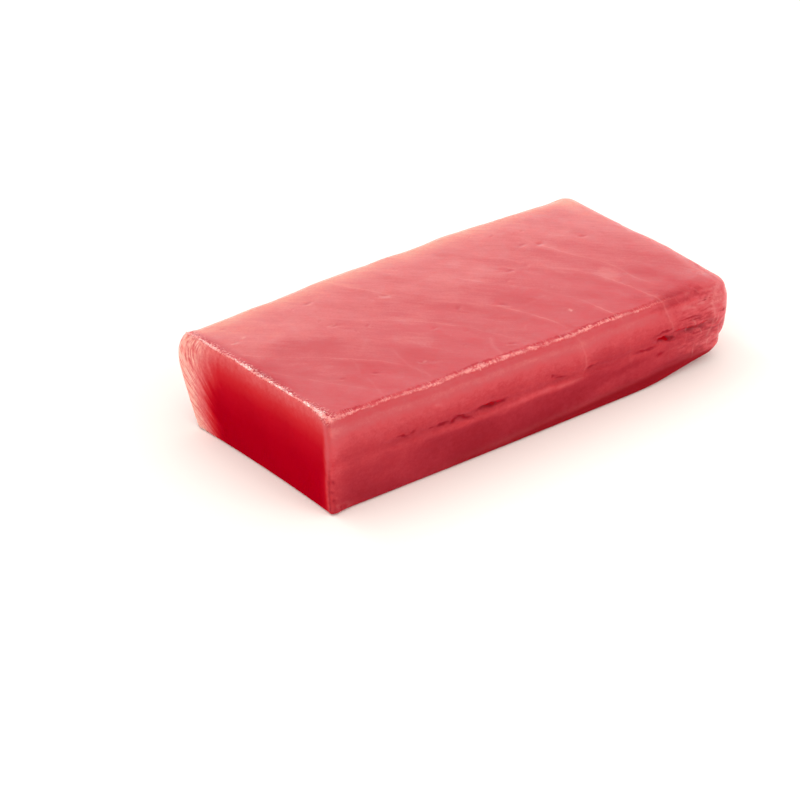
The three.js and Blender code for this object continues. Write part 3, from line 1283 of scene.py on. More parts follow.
SEPTA = (
    Septum(((-12, 22, 0), (4, 38, 0.3), (12, 52, 0.4), (20, 64, 0.2), (22, 72, 0))),
    Septum(((2, 22, 0.1), (10, 31, 0.8), (28, 47, 0.7), (36, 57, 0.4), (39, 66, 0.1), (40, 75, 0))),
    Septum(((30, 14, 0), (45, 30, 0.3), (56, 38, 0.6), (63, 46, 0.6), (69, 54, 0.8), (73, 62, 0.5), (74, 72, 0))),
    Septum(((50, 2, 0.1), (55, 11, 0.9), (62, 24, 1), (72, 36, 0.8), (80, 43, 1), (86, 52, 1), (90, 62, 0.8),
            (91, 70, 0.2), (93, 80, 0.5), (93.4, 84, 0.5), (90, 88, 0))),
    Septum(((62, 2, 0.3), (71, 13, 0.7), (82, 23, 1), (90, 33, 0.9), (96, 41, 0.7), (101, 48, 0.1), (106, 57, 0.9),
            (108, 68, 0.9), (110, 74, 0.5), (112, 84, 0.35), (113, 90, 0))),
    Septum(((90, 6, 0), (97, 14, 0.6), (104, 22, 0.9), (110, 32, 0.7), (117, 40, 0.5), (122, 48, 0.6),
            (125, 57, 0.7), (126, 68, 0.8), (127, 76, 0.6), (129, 81, 0.5), (130, 88, 0))),
    Septum(((110, 4, 0), (118, 13, 0.7), (122, 25, 0.9), (126, 36, 0.5), (130, 44, 0.4), (131, 56, 0.6),
            (133, 66, 0))),
    Septum(((128, 10, 0), (134, 30, 0.2), (139, 50, 0.2), (144, 66, 0.2), (145, 78, 0.25), (145, 88, 0.2),
            (146, 96, 0))),
)

TOP_PATCHES = (
    Patch(21.5, 32.0, 11.0, 5.5, 42.0, 0.19),
    Patch(25.0, 43.0, 14.0, 7.0, 42.0, 0.05),
    Patch(7.0, 40.0, 8.0, 14.0, 0.0, 0.1),
    Patch(3.0, 40.0, 4.0, 13.0, 0.0, 0.16),
    Patch(34.0, 60.0, 26.0, 9.0, 10.0, 0.035),
    Patch(132.0, 67.0, 16.0, 4.5, 0.0, 0.19),
    Patch(132.0, 58.0, 10.0, 7.0, 0.0, 0.05),
    Patch(118.0, 59.0, 8.0, 8.0, 0.0, 0.08),
    Patch(108.0, 68.0, 10.0, 3.0, 0.0, 0.08),
    Patch(43.5, 57.0, 6.0, 5.0, 60.0, 0.1),
    Patch(91.0, 46.0, 8.0, 4.5, 45.0, 0.09),
    Patch(71.0, 37.5, 8.5, 4.0, 45.0, 0.07),
    Patch(136.5, 54.0, 6.5, 4.5, 80.0, 0.09),
    Patch(25.0, 53.0, 8.0, 4.5, 45.0, 0.06),
    Patch(63.0, 59.5, 3.6, 3.4, 0.0, 0.06),
    Patch(70.0, 66.0, 5.5, 3.2, 0.0, 0.07),
    Patch(95.0, 12.0, 7.0, 3.2, 30.0, 0.05),
    Patch(65.0, 13.0, 9.0, 4.0, 35.0, 0.05),
    Patch(137.0, 24.0, 2.8, 2.4, 0.0, 0.1),
    Patch(135.0, 10.0, 9.0, 4.0, 20.0, 0.04),
    Patch(57.0, 29.0, 6.0, 3.0, 45.0, 0.04),
    Patch(113.0, 46.0, 8.0, 3.5, 48.0, 0.05),
    Patch(14.0, 17.0, 10.0, 8.0, 40.0, -0.05),
    Patch(50.0, 47.0, 7.0, 4.5, 50.0, -0.07),
    Patch(125.0, 50.0, 4.0, 3.6, 0.0, -0.1),
    Patch(57.0, 37.0, 7.0, 3.4, 40.0, -0.05),
    Patch(94.0, 30.0, 7.0, 5.0, 45.0, -0.05),
    Patch(113.0, 37.0, 6.0, 4.0, 45.0, -0.04),
    Patch(115.0, 63.0, 5.0, 6.0, 0.0, -0.04),
    Patch(78.0, 58.0, 8.0, 4.6, 50.0, -0.04),
    Patch(100.0, 57.0, 6.0, 5.0, 50.0, -0.04),
    Patch(58.0, 22.0, 8.0, 3.4, 35.0, -0.04),
    Patch(84.0, 27.0, 9.0, 3.0, 42.0, -0.04),
    Patch(27.0, 62.0, 10.0, 3.4, 10.0, -0.04),
)

FRONT_PATCHES = (
    Patch(127.0, 20.0, 36.0, 2.6, -6.0, -0.09),
    Patch(104.0, 22.4, 16.0, 1.8, -14.0, -0.05),
    Patch(149.5, 21.5, 6.0, 4.0, 0.0, -0.22),
    # painted shade where the foot tucks under in front of the natural end
    Patch(135.0, 24.5, 11.0, 2.6, 0.0, 0.12),
    Patch(149.0, 9.0, 4.5, 7.0, 0.0, -0.14),
    Patch(101.0, 15.5, 12.0, 1.6, 0.0, 0.1),
    Patch(133.0, 3.8, 13.0, 2.4, 0.0, 0.15),
    Patch(62.0, 10.5, 10.0, 3.4, 0.0, 0.03),
    Patch(104.0, 11.5, 8.0, 3.0, 10.0, 0.05),
    Patch(137.0, 12.0, 12.0, 3.6, 5.0, 0.01),
    Patch(139.0, 15.0, 10.0, 3.4, 5.0, 0.05),
    Patch(150.0, 16.5, 7.0, 2.6, 0.0, 0.1),
    Patch(35.0, 20.5, 8.0, 5.0, -30.0, 0.05),
    Patch(78.0, 15.6, 16.0, 1.2, 0.0, -0.09),
    Patch(46.0, 15.8, 12.0, 1.3, 0.0, -0.06),
    Patch(22.0, 20.5, 5.0, 1.6, -50.0, -0.04),
)

TOP_VEINS = (
    Vein(((30, 46), (34, 43), (38, 39.5)), 0.06),
    Vein(((40, 49), (38.2, 57), (39.5, 67)), 0.08),
    Vein(((68, 60), (65.2, 64), (64, 69)), 0.1),
    Vein(((86, 51.5), (93, 50.5), (99, 49.5)), 0.06),
    Vein(((24, 58), (22.5, 63), (21.5, 68)), 0.06),
    Vein(((24.5, 53), (27, 48)), 0.06),
    Vein(((44, 60), (47, 62.5)), 0.06),
    Vein(((82, 60), (79, 62.5)), 0.05),
    Vein(((47, 47), (50, 54), (53, 60)), 0.06),
    Vein(((12, 15), (18, 20), (24, 24)), 0.06),
    # The short bright strokes from here on are painted highlights on the wet top.
    Vein(((34, 26.5), (36.5, 26.5)), 0.25),
    Vein(((58, 20.6), (60.2, 22.2)), 0.35),
    Vein(((5.2, 16), (6.8, 16.2)), 0.35),
    Vein(((102.5, 29.6), (103.6, 31)), 0.2),
    Vein(((99.2, 60.3), (99.6, 60.7)), 0.7),
    Vein(((9.6, 15.2), (10.6, 15)), 0.4),
    Vein(((43, 59.6), (43.6, 59.6)), 0.3),
)

FRONT_VEINS = (
    Vein(((92.6, 15.4), (88, 15.8), (83, 15.3)), 0.08),
    Vein(((145.8, 7), (146.6, 12), (145, 18)), 0.14),
    Vein(((133, 4.6), (138, 5.2)), 0.2),
    Vein(((139.5, 4.8), (145, 4.2)), 0.18),
    Vein(((70.5, 3.6), (75, 3.9)), 0.08),
    Vein(((37, 6.5), (39, 6.8)), 0.14),
)


class TunaBlock:
    """The block of raw tuna, one piece from its grid to its finish."""

    name = "raw_tuna_flesh"

    def __init__(self, form: BlockForm, plan: GridPlan) -> None:
        """Keeps the form and the plan of the grid.

        Args:
            form: the form that the block has.
            plan: how finely its faces are divided.
        """
        self.form = form
        self.plan = plan
        self.reliefs: tuple[Relief, ...] = (
            Colouring(),
            Patches(TOP_PATCHES, FRONT_PATCHES),
            Unevenness(),
            Septa(SEPTA),
            Veins(TOP_VEINS, FRONT_VEINS),
            Pits(),
            FrontRidge(),
            KnifeRim(),
            CutStrands(),
            Slits(-1, FRONT_SLITS),
            Slits(1, FAR_SLITS),
            EndCreases(),
            Foot(),
            Nicks(),
        )

    def _edges_along(self, mesh: bpy.types.Mesh, axis: Axis) -> None:
        """Selects the edges that run along one axis, in edit mode."""
        work = bmesh.from_edit_mesh(mesh)
        for face in work.faces:
            face.select_set(False)
        for edge in work.edges:
            run = edge.verts[0].co - edge.verts[1].co
            edge.select_set(abs(run[axis.value]) > 1e-5)
        bmesh.update_edit_mesh(mesh)

    def _split(self, mesh: bpy.types.Mesh, axis: Axis, pieces: tuple[int, int]) -> None:
        """Divides the box along one axis, in two rounds because one round has at most 100 cuts."""
        for count in pieces:
            if count > 1:
                self._edges_along(mesh, axis)
                bpy.ops.mesh.subdivide(number_cuts=count - 1)

    def _refine(self, mesh: bpy.types.Mesh, wanted) -> None:
        """Divides once more the faces whose middle is wanted.

        Args:
            mesh: the mesh in edit mode, still a unit box.
            wanted: a test of a face's middle on the squared block, in mm.
        """
        work = bmesh.from_edit_mesh(mesh)
        faces = list(work.faces)
        middles = np.array([face.calc_center_median() for face in faces]) + 0.5
        chosen = wanted(self.plan.on_squared_block(middles, self.form))
        for edge in work.edges:
            edge.select_set(False)
        for face, keep in zip(faces, chosen):
            if keep:
                face.select_set(True)
        bmesh.update_edit_mesh(mesh)
        bpy.ops.mesh.subdivide(number_cuts=1, ngon=True)

    def _near_front_ridge(self, middle: np.ndarray) -> np.ndarray:
        """Whether places are on the ridge along the front of the top."""
        from_front = middle[:, 1] + self.form.width / 2
        from_top = self.form.height - middle[:, 2]
        return (from_front < 2.6) & (from_top < 3.4) & (middle[:, 0] < 66)

    def _near_ridge_crest(self, middle: np.ndarray) -> np.ndarray:
        """Whether places are on the crest of that ridge."""
        from_front = middle[:, 1] + self.form.width / 2
        from_top = self.form.height - middle[:, 2]
        return (from_front < 1.3) & (from_top < 1.3) & (middle[:, 0] < 44)

    def _near_pit(self, middle: np.ndarray) -> np.ndarray:
        """Whether places are on one of the larger pits of the top."""
        from_cut = middle[:, 0] + self.form.length / 2
        from_far = self.form.width / 2 - middle[:, 1]
        gaps = [np.hypot(from_cut - along, from_far - across) for along, across, _ in Pits().placed]
        return (middle[:, 2] > self.form.height - 0.01) & (np.min(gaps, axis=0) < 2.4)

    def _near_knife_rim(self, middle: np.ndarray) -> np.ndarray:
        """Whether places are on the rim of the knife cut."""
        from_cut = middle[:, 0] + self.form.length / 2
        from_top = self.form.height - middle[:, 2]
        return (from_cut < 3.4) & (from_top < 3.4)

    def _near_seam(self, middle: np.ndarray) -> np.ndarray:
        """Whether places are on the seam along the front."""
        front = middle[:, 1] < -self.form.width / 2 + 0.01
        share = middle[:, 2] / self.form.height
        slits = (share > 0.43) & (share < 0.6) & (middle[:, 0] > -62)
        return front & (slits | ((middle[:, 0] > 44) & (share > 0.36) & (share < 0.74)))

    def _grid(self) -> bpy.types.Object:
        """Adds the unit box and divides it into the grid."""
        bpy.ops.object.select_all(action="DESELECT")
        bpy.ops.mesh.primitive_cube_add(size=1, location=(0, 0, 0))
        block = bpy.context.object
        block.name = self.name
        block.data.name = self.name
        bpy.ops.object.mode_set(mode="EDIT")
        bpy.ops.mesh.select_mode(type="EDGE")
        self._split(block.data, Axis.ALONG, self.plan.columns)
        self._split(block.data, Axis.ACROSS, self.plan.rows)
        self._split(block.data, Axis.UP, self.plan.tiers)
        bpy.ops.mesh.select_mode(type="FACE")
        self._refine(block.data, lambda middle: self._near_seam(middle) | self._near_pit(middle))
        self._refine(block.data, lambda middle: self._near_front_ridge(middle) | self._near_knife_rim(middle))
        self._refine(block.data, self._near_ridge_crest)
        bpy.ops.object.mode_set(mode="OBJECT")
        return block

    def _read(self, block: bpy.types.Object) -> np.ndarray:
        """The places of a mesh's corners, one row each."""
        flat = np.empty(len(block.data.vertices) * 3)
        block.data.vertices.foreach_get("co", flat)
        return flat.reshape(-1, 3)

    def _write(self, block: bpy.types.Object, place: np.ndarray) -> None:
        """Moves a mesh's corners to places in mm."""
        block.data.vertices.foreach_set("co", (place * MM).ravel())
        block.data.update()

    def _carve(self, block: bpy.types.Object) -> Skin:
        """Gives the grid the block's form, and its relief on top."""
        home = self.plan.on_squared_block(self._read(block) + 0.5, self.form)
        place, outward = self.form.carve(home)
        self._write(block, place)
        flat = np.empty(len(home) * 3)
        block.data.vertex_normals.foreach_get("vector", flat)
        skin = Skin(self.form, home, place, outward)
        rise = sum(relief.height(skin) for relief in self.reliefs)
        off_floor = smooth(place[:, 2], 0.0, 1.2)
        raised = place + flat.reshape(-1, 3) * (rise * off_floor)[:, None]
        raised[:, 2] = np.maximum(raised[:, 2], 0.0)
        self._write(block, raised)
        return skin

    def _keep_masks(self, block: bpy.types.Object, skin: Skin) -> None:
        """Stores the masks on the mesh, by the names that the material reads."""
        for name, amount in skin.masks.items():
            layer = block.data.attributes.new(name, "FLOAT", "POINT")
            layer.data.foreach_set("value", amount.astype(np.float32))

    def _dissolve_underside(self, block: bpy.types.Object) -> None:
        """Makes one face of the flat part that the block rests on."""
        bpy.ops.object.mode_set(mode="EDIT")
        bpy.ops.mesh.select_mode(type="FACE")
        work = bmesh.from_edit_mesh(block.data)
        for face in work.faces:
            face.select_set(all(corner.co.z < 1e-6 for corner in face.verts))
        bmesh.update_edit_mesh(block.data)
        bpy.ops.mesh.dissolve_faces()
        bpy.ops.object.mode_set(mode="OBJECT")

    def build(self) -> bpy.types.Object:
        """Makes the block.

        Returns:
            The finished piece, without its material.
        """
        block = self._grid()
        skin = self._carve(block)
        self._keep_masks(block, skin)
        self._dissolve_underside(block)
        bpy.ops.object.shade_smooth()
        return block


# ------------------------------------------------------------------------------------------------
# Finishes
# ------------------------------------------------------------------------------------------------


def linear(colour: Colour) -> tuple[float, float, float, float]:
    """A display colour from 0 to 255 as the linear colour that a node takes."""
    channels = [value / 255 for value in colour]
    lit = [value / 12.92 if value <= 0.04045 else ((value + 0.055) / 1.055) ** 2.4 for value in channels]
    return (*lit, 1.0)


class NodeSheet:
    """A material's or a world's nodes, with short ways to add and join them."""

    def __init__(self, tree: bpy.types.NodeTree) -> None:
        """Starts on an empty tree.

        Args:
            tree: the node tree to fill.
        """
        self.tree = tree
        tree.nodes.clear()

    def add(self, kind: str, **settings) -> bpy.types.Node:
        """Adds a node and sets its properties."""
        node = self.tree.nodes.new(kind)
        for name, value in settings.items():
            setattr(node, name, value)
        return node

    def feed(self, socket: bpy.types.NodeSocket, source) -> None:
        """Joins a socket to another one, or gives it a value."""
        if isinstance(source, bpy.types.NodeSocket):
            self.tree.links.new(source, socket)
        else:
            socket.default_value = source

    def math(self, operation: str, *sources, clamp: bool = False) -> bpy.types.NodeSocket:
        """One step of arithmetic on up to three sources."""
        node = self.add("ShaderNodeMath", operation=operation, use_clamp=clamp)
        for socket, source in zip(node.inputs, sources):
            self.feed(socket, source)
        return node.outputs[0]

    def swing(self, pattern, reach) -> bpy.types.NodeSocket:
        """Turns a pattern from 0 to 1 into one that swings round 0, half of the reach to each side."""
        return self.math("MULTIPLY", self.math("SUBTRACT", pattern, 0.5), reach)

    def ramp(self, place, stops: tuple[tuple[float, Colour], ...]) -> bpy.types.NodeSocket:
        """The colour at a place between stops, the first of which is at 0.

        Args:
            place: where to read it.
            stops: places and colours; the last place may be more than 1.

        Returns:
            The colour.
        """
        last = stops[-1][0]
        node = self.add("ShaderNodeValToRGB")
        self.feed(node.inputs[0], self.math("DIVIDE", place, last, clamp=True))
        elements = node.color_ramp.elements
        elements[0].color = linear(stops[0][1])
        elements[1].color = linear(stops[-1][1])
        for at, colour in stops[1:-1]:
            elements.new(at / last).color = linear(colour)
        return node.outputs[0]

    def blend(self, share, first, second, mode: str = "MIX") -> bpy.types.NodeSocket:
        """Blends two colours by a share from 0 to 1."""
        node = self.add("ShaderNodeMix", data_type="RGBA", blend_type=mode, clamp_factor=True)
        self.feed(node.inputs[0], share)
        self.feed(node.inputs[6], first)
        self.feed(node.inputs[7], second)
        return node.outputs[2]

    def span(self, value, low: float, high: float, to_low=0.0, to_high=1.0) -> bpy.types.NodeSocket:
        """Maps a range of values onto another, smoothly and clamped."""
        node = self.add("ShaderNodeMapRange", interpolation_type="SMOOTHSTEP", clamp=True)
        for socket, source in zip(node.inputs, (value, low, high, to_low, to_high)):
            self.feed(socket, source)
        return node.outputs[0]

    def mask(self, mask: Mask) -> bpy.types.NodeSocket:
        """One of the maps kept on the mesh."""
        return self.add("ShaderNodeAttribute", attribute_name=mask.value).outputs["Fac"]

    def noise(self, where, scale: float, detail: float, roughness: float = 0.5) -> bpy.types.NodeSocket:
        """Soft noise from 0 to 1 at places given in metres."""
        node = self.add("ShaderNodeTexNoise", noise_dimensions="3D")
        self.feed(node.inputs["Vector"], where)
        node.inputs["Scale"].default_value = scale
        node.inputs["Detail"].default_value = detail
        node.inputs["Roughness"].default_value = roughness
        return node.outputs["Fac"]

    def turned(self, where, turn: float, stretch: Triple) -> bpy.types.NodeSocket:
        """Places for a pattern that is turned about Z by some degrees and stretched along its own axes."""
        node = self.add("ShaderNodeMapping", vector_type="TEXTURE")
        self.feed(node.inputs["Vector"], where)
        node.inputs["Rotation"].default_value = (0.0, 0.0, radians(turn))
        node.inputs["Scale"].default_value = stretch
        return node.outputs[0]


@dataclass(frozen=True)
class RawFlesh:
    """The finish of raw tuna: moist, translucent, pale pink on the top, palest at the thin far edge as a painted
    glow, and deep red inside; its colour also holds painted highlights and painted shade.
    """

    name: str = "raw_tuna_flesh"
    # the palest stops carry the painted glow of the thin far edge, the deepest the painted shade at the foot
    tones: tuple[tuple[float, Colour], ...] = (
        (0.0, (232, 155, 140)),
        (0.12, (227, 133, 127)),
        (0.25, (217, 116, 117)),
        (0.45, (203, 91, 96)),
        (0.6, (205, 80, 87)),
        (0.7, (193, 65, 73)),
        (0.8, (180, 55, 65)),
        (0.9, (168, 45, 57)),
        (1.0, (156, 36, 48)),
        (1.2, (143, 23, 33)),
    )
    cut_tones: tuple[tuple[float, Colour], ...] = (
        (0.0, (250, 186, 172)),
        (0.1, (247, 168, 156)),
        (0.2, (239, 149, 141)),
        (0.4, (229, 113, 112)),
        (0.6, (217, 88, 90)),
        (0.75, (209, 62, 67)),
        (0.9, (202, 38, 46)),
        (1.05, (187, 13, 31)),
        (1.2, (170, 0, 22)),
    )
    # pale torn fibre, and on the ridge, the rim crest and the short strokes of the top partly a painted highlight
    pale_fibre_and_highlight: Colour = (240, 166, 161)
    # near-white painted highlights on the crest of the rim
    painted_glint: Colour = (255, 250, 244)
    septum: Colour = (246, 160, 156)
    speck: Colour = (150, 30, 40)  # the painted shade between torn threads, also the colour that darker patches are muted towards
    # painted shade along the edges of the slits
    slit_shade: Colour = (164, 26, 42)
    slit_inside: Colour = (206, 0, 20)
    dim: float = 0.87  # all colours are made this much darker, for the studio's brighter light
    light_reach: float = 2.6  # how far light spreads in the flesh, in mm
    film_roughness: float = 0.13
    flesh_roughness: float = 0.42
    grain_turn: float = -42.0  # the fibres on the top run at this angle to the block

    def _tone(self, sheet: NodeSheet, where) -> bpy.types.NodeSocket:
        """The flesh's tone with its mottling, the painted light and shade of fine wrinkle lines and a soft painted
        shade round the slits: from 0, pale, past 1, deep.
        """
        along_fibres = sheet.turned(where, self.grain_turn, (5.0, 1.0, 1.0))
        # painted light and shade of fine wrinkle lines
        wrinkle_shading = sheet.noise(sheet.turned(where, 0.0, (3.0, 3.0, 1.0)), 900, 3, 0.6)
        patterns = (
            (sheet.noise(where, 90, 3, 0.55), 0.14),
            (sheet.noise(along_fibres, 700, 3, 0.6), 0.2),
            (sheet.noise(where, 1500, 2), 0.12),
            (wrinkle_shading, sheet.math("MULTIPLY", sheet.mask(Mask.WRINKLE_SHADING), 1.1)),
        )
        tone = sheet.mask(Mask.TONE)
        for pattern, share in patterns:
            tone = sheet.math("ADD", tone, sheet.swing(pattern, share))
        # a soft painted shade round each slit
        return sheet.math("MULTIPLY_ADD", sheet.span(sheet.mask(Mask.GAPE), 0.0, 0.5), 0.14, tone)

    def _flakes(self, sheet: NodeSheet, where) -> tuple[bpy.types.NodeSocket, bpy.types.NodeSocket]:
        """The flakes of muscle and the sheets of tissue between them.

        Args:
            sheet: the material's nodes.
            where: the places on the block.

        Returns:
            How much deeper the flake's tone is, and how clearly a pale sheet shows, from 0 to 1.
        """
        span = sheet.mask(Mask.FLAKE_SPAN)
        kept = sheet.mask(Mask.SEPTUM_KEPT)
        ripple = sheet.math("DIVIDE", sheet.swing(sheet.noise(where, 420, 2), 0.9), span)
        share = sheet.math("FRACT", sheet.math("ADD", sheet.mask(Mask.FLAKE), ripple))
        nearer = sheet.math("MINIMUM", share, sheet.math("SUBTRACT", 1.0, share))
        gap = sheet.math("MULTIPLY", nearer, span)
        sharp = sheet.math("MULTIPLY", sheet.span(gap, 0.0, 0.5, 1.0, 0.0), 0.17)
        line = sheet.math("MULTIPLY_ADD", sheet.span(gap, 0.0, 2.2, 1.0, 0.0), 0.1, sharp)
        deeper = sheet.math("MULTIPLY", sheet.swing(share, 0.07), kept)
        return deeper, sheet.math("MULTIPLY", line, kept, clamp=True)

    def _ridge(self, sheet: NodeSheet, where) -> tuple[bpy.types.NodeSocket, bpy.types.NodeSocket]:
        """The frayed ridge along the front.

        Args:
            sheet: the material's nodes.
            where: the places on the block.

        Returns:
            How much deeper the tone is in the painted shadow of its furrow and under it, and how pale its frayed
            thread is, partly torn fibre and partly a painted highlight, from 0 to 1.
        """
        kept = sheet.mask(Mask.RIDGE_KEPT)
        calm = sheet.math("ADD", sheet.mask(Mask.RIDGE), sheet.swing(sheet.noise(where, 520, 2, 0.6), 1.3))
        ragged = sheet.math("ADD", calm, sheet.swing(sheet.noise(where, 1900, 3, 0.7), 2.4))
        width = sheet.span(sheet.noise(where, 330, 2), 0.38, 0.62, 0.1, 0.5)
        beside = sheet.math("SUBTRACT", sheet.math("ABSOLUTE", ragged), width)
        lumps = sheet.span(sheet.noise(where, 1500, 2), 0.4, 0.56, 0.25, 1.0)
        body = sheet.math("MULTIPLY", sheet.span(beside, -0.05, 0.2, 0.78, 0.0), lumps)
        fine = sheet.noise(sheet.turned(where, 0.0, (1.0, 6.0, 6.0)), 2300, 2, 0.6)
        spread = sheet.span(sheet.math("ABSOLUTE", sheet.math("SUBTRACT", calm, 0.3)), 0.3, 1.5, 0.48, 0.0)
        threads = sheet.math("MULTIPLY", sheet.span(fine, 0.54, 0.64), spread)
        # the pale thread: torn fibre and partly a painted highlight along the edge
        pale = sheet.math("MAXIMUM", body, threads)
        # painted shadow in the fine furrow on the top side of the ridge, and under the ridge
        above = sheet.span(sheet.math("ABSOLUTE", sheet.math("SUBTRACT", calm, 0.95)), 0.1, 0.7, 0.22, 0.0)
        below = sheet.span(sheet.math("ABSOLUTE", sheet.math("ADD", calm, 0.8)), 0.1, 0.6, 0.09, 0.0)
        furrow = sheet.math("MULTIPLY", sheet.math("MAXIMUM", above, below), kept)
        return furrow, sheet.math("MULTIPLY", pale, kept, clamp=True)

    def _rim(self, sheet: NodeSheet, where) -> tuple[bpy.types.NodeSocket, ...]:
        """The torn rim of the knife cut.

        Args:
            sheet: the material's nodes.
            where: the places on the block.

        Returns:
            How dark the painted shade between the torn threads is, how pale the threads and the crest are, partly
            torn fibre and partly a painted highlight, and where near-white painted highlights lie on the crest.
        """
        kept = sheet.mask(Mask.RIM_KEPT)
        calm = sheet.math("ADD", sheet.mask(Mask.RIM), sheet.swing(sheet.noise(where, 620, 2, 0.6), 0.6))
        ragged = sheet.math("ADD", calm, sheet.swing(sheet.noise(where, 1900, 3, 0.7), 1.0))
        width = sheet.span(sheet.noise(where, 300, 2), 0.38, 0.62, 0.03, 0.2)
        beside = sheet.math("SUBTRACT", sheet.math("ABSOLUTE", sheet.math("SUBTRACT", ragged, 0.06)), width)
        crest = sheet.span(beside, -0.02, 0.08, 1.0, 0.0)
        zone = sheet.math("MULTIPLY", sheet.span(ragged, -1.0, 0.0), sheet.span(calm, 0.4, 1.1, 1.0, 0.0))
        fine = sheet.noise(sheet.turned(where, 0.0, (1.7, 1.0, 1.4)), 1900, 3, 0.65)
        threads = sheet.math("MULTIPLY", sheet.span(fine, 0.5, 0.6), zone)
        # the pale crest: torn fibre and partly a painted highlight
        pale = sheet.math("MAXIMUM", sheet.math("MULTIPLY", crest, 0.9), sheet.math("MULTIPLY", threads, 0.65))
        # painted shade in the gaps between torn threads
        dark = sheet.math("MULTIPLY", sheet.span(fine, 0.42, 0.5, 0.42, 0.06), zone)
        beads = sheet.math("MULTIPLY", sheet.span(sheet.noise(where, 2100, 1), 0.46, 0.58), crest)
        # painted highlights: near-white sparkles on the crest
        painted_glint = sheet.math("MULTIPLY", beads, sheet.span(sheet.noise(where, 260, 2), 0.4, 0.55))
        return (
            sheet.math("MULTIPLY", dark, kept, clamp=True),
            sheet.math("MULTIPLY", pale, kept, clamp=True),
            sheet.math("MULTIPLY", painted_glint, sheet.mask(Mask.PAINTED_GLINT), clamp=True),
        )

    def _cut(self, sheet: NodeSheet, where) -> bpy.types.NodeSocket:
        """The colour of the knife cut, with its strands."""
        height = sheet.add("ShaderNodeSeparateXYZ")
        sheet.feed(height.inputs[0], where)
        lie = sheet.add("ShaderNodeCombineXYZ")
        sheet.feed(lie.inputs[0], sheet.mask(Mask.STRAND))
        sheet.feed(lie.inputs[2], sheet.math("MULTIPLY", height.outputs[2], 0.16))
        strands = sheet.swing(sheet.noise(lie.outputs[0], 1300, 3, 0.65), -2.2)
        strands = sheet.math("MULTIPLY", strands, sheet.mask(Mask.STRAND_KEPT))
        depth = sheet.mask(Mask.DEPTH)
        blotches = sheet.swing(sheet.noise(where, 620, 3, 0.7), sheet.span(depth, 0.35, 1.0, 0.5, 0.08))
        depth = sheet.math("ADD", sheet.math("ADD", depth, strands), blotches)
        return sheet.ramp(depth, self.cut_tones)

    def _colour(self, sheet: NodeSheet, where) -> bpy.types.NodeSocket:
        """The colour of the flesh all over."""
        flake_tone, septa = self._flakes(sheet, where)
        ridge_shadow, ridge = self._ridge(sheet, where)
        dark, rim, painted_glint = self._rim(sheet, where)
        tone = self._tone(sheet, where)
        # the flakes' tone, and the painted shadow along the ridge
        for deeper in (flake_tone, ridge_shadow):
            tone = sheet.math("ADD", tone, deeper)
        colour = sheet.blend(sheet.mask(Mask.SHADE), sheet.ramp(tone, self.tones), linear(self.speck))
        colour = sheet.blend(septa, colour, linear(self.septum))
        colour = sheet.blend(sheet.mask(Mask.FRESH), colour, self._cut(sheet, where))
        # painted shade between the torn threads of the rim
        colour = sheet.blend(dark, colour, linear(self.speck))
        # pale fibre; on the ridge, the rim crest and the short strokes of the top partly painted highlight
        for share in (sheet.mask(Mask.FROST), ridge, rim):
            colour = sheet.blend(share, colour, linear(self.pale_fibre_and_highlight))
        # painted highlights: near-white sparkles on the crest of the rim
        colour = sheet.blend(painted_glint, colour, linear(self.painted_glint))
        # the slits: painted shade along their edges, and the flesh's deep red inside
        torn = sheet.noise(sheet.turned(where, 0.0, (3.0, 1.0, 1.0)), 1500, 2, 0.6)
        slit = sheet.math("ADD", sheet.mask(Mask.GAPE), sheet.swing(torn, 0.9))
        colour = sheet.blend(sheet.span(slit, 0.48, 0.62, 0.0, 0.85), colour, linear(self.slit_shade))
        inside = sheet.math("MULTIPLY", sheet.span(slit, 0.6, 0.74), sheet.mask(Mask.GAPE_RED))
        colour = sheet.blend(inside, colour, linear(self.slit_inside))
        return sheet.blend(1.0, colour, (self.dim, self.dim, self.dim, 1.0), "MULTIPLY")

    def _bump(self, sheet: NodeSheet, where) -> bpy.types.NodeSocket:
        """The finest grain, too small for the mesh."""
        fibres = sheet.noise(sheet.turned(where, self.grain_turn, (4.0, 1.0, 1.0)), 1100, 3, 0.6)
        skin = sheet.noise(where, 2600, 2, 0.5)
        bump = sheet.add("ShaderNodeBump")
        bump.inputs["Strength"].default_value = 0.35
        bump.inputs["Distance"].default_value = 0.12 * MM
        sheet.feed(bump.inputs["Height"], sheet.math("MULTIPLY_ADD", skin, 0.5, fibres))
        return bump.outputs[0]

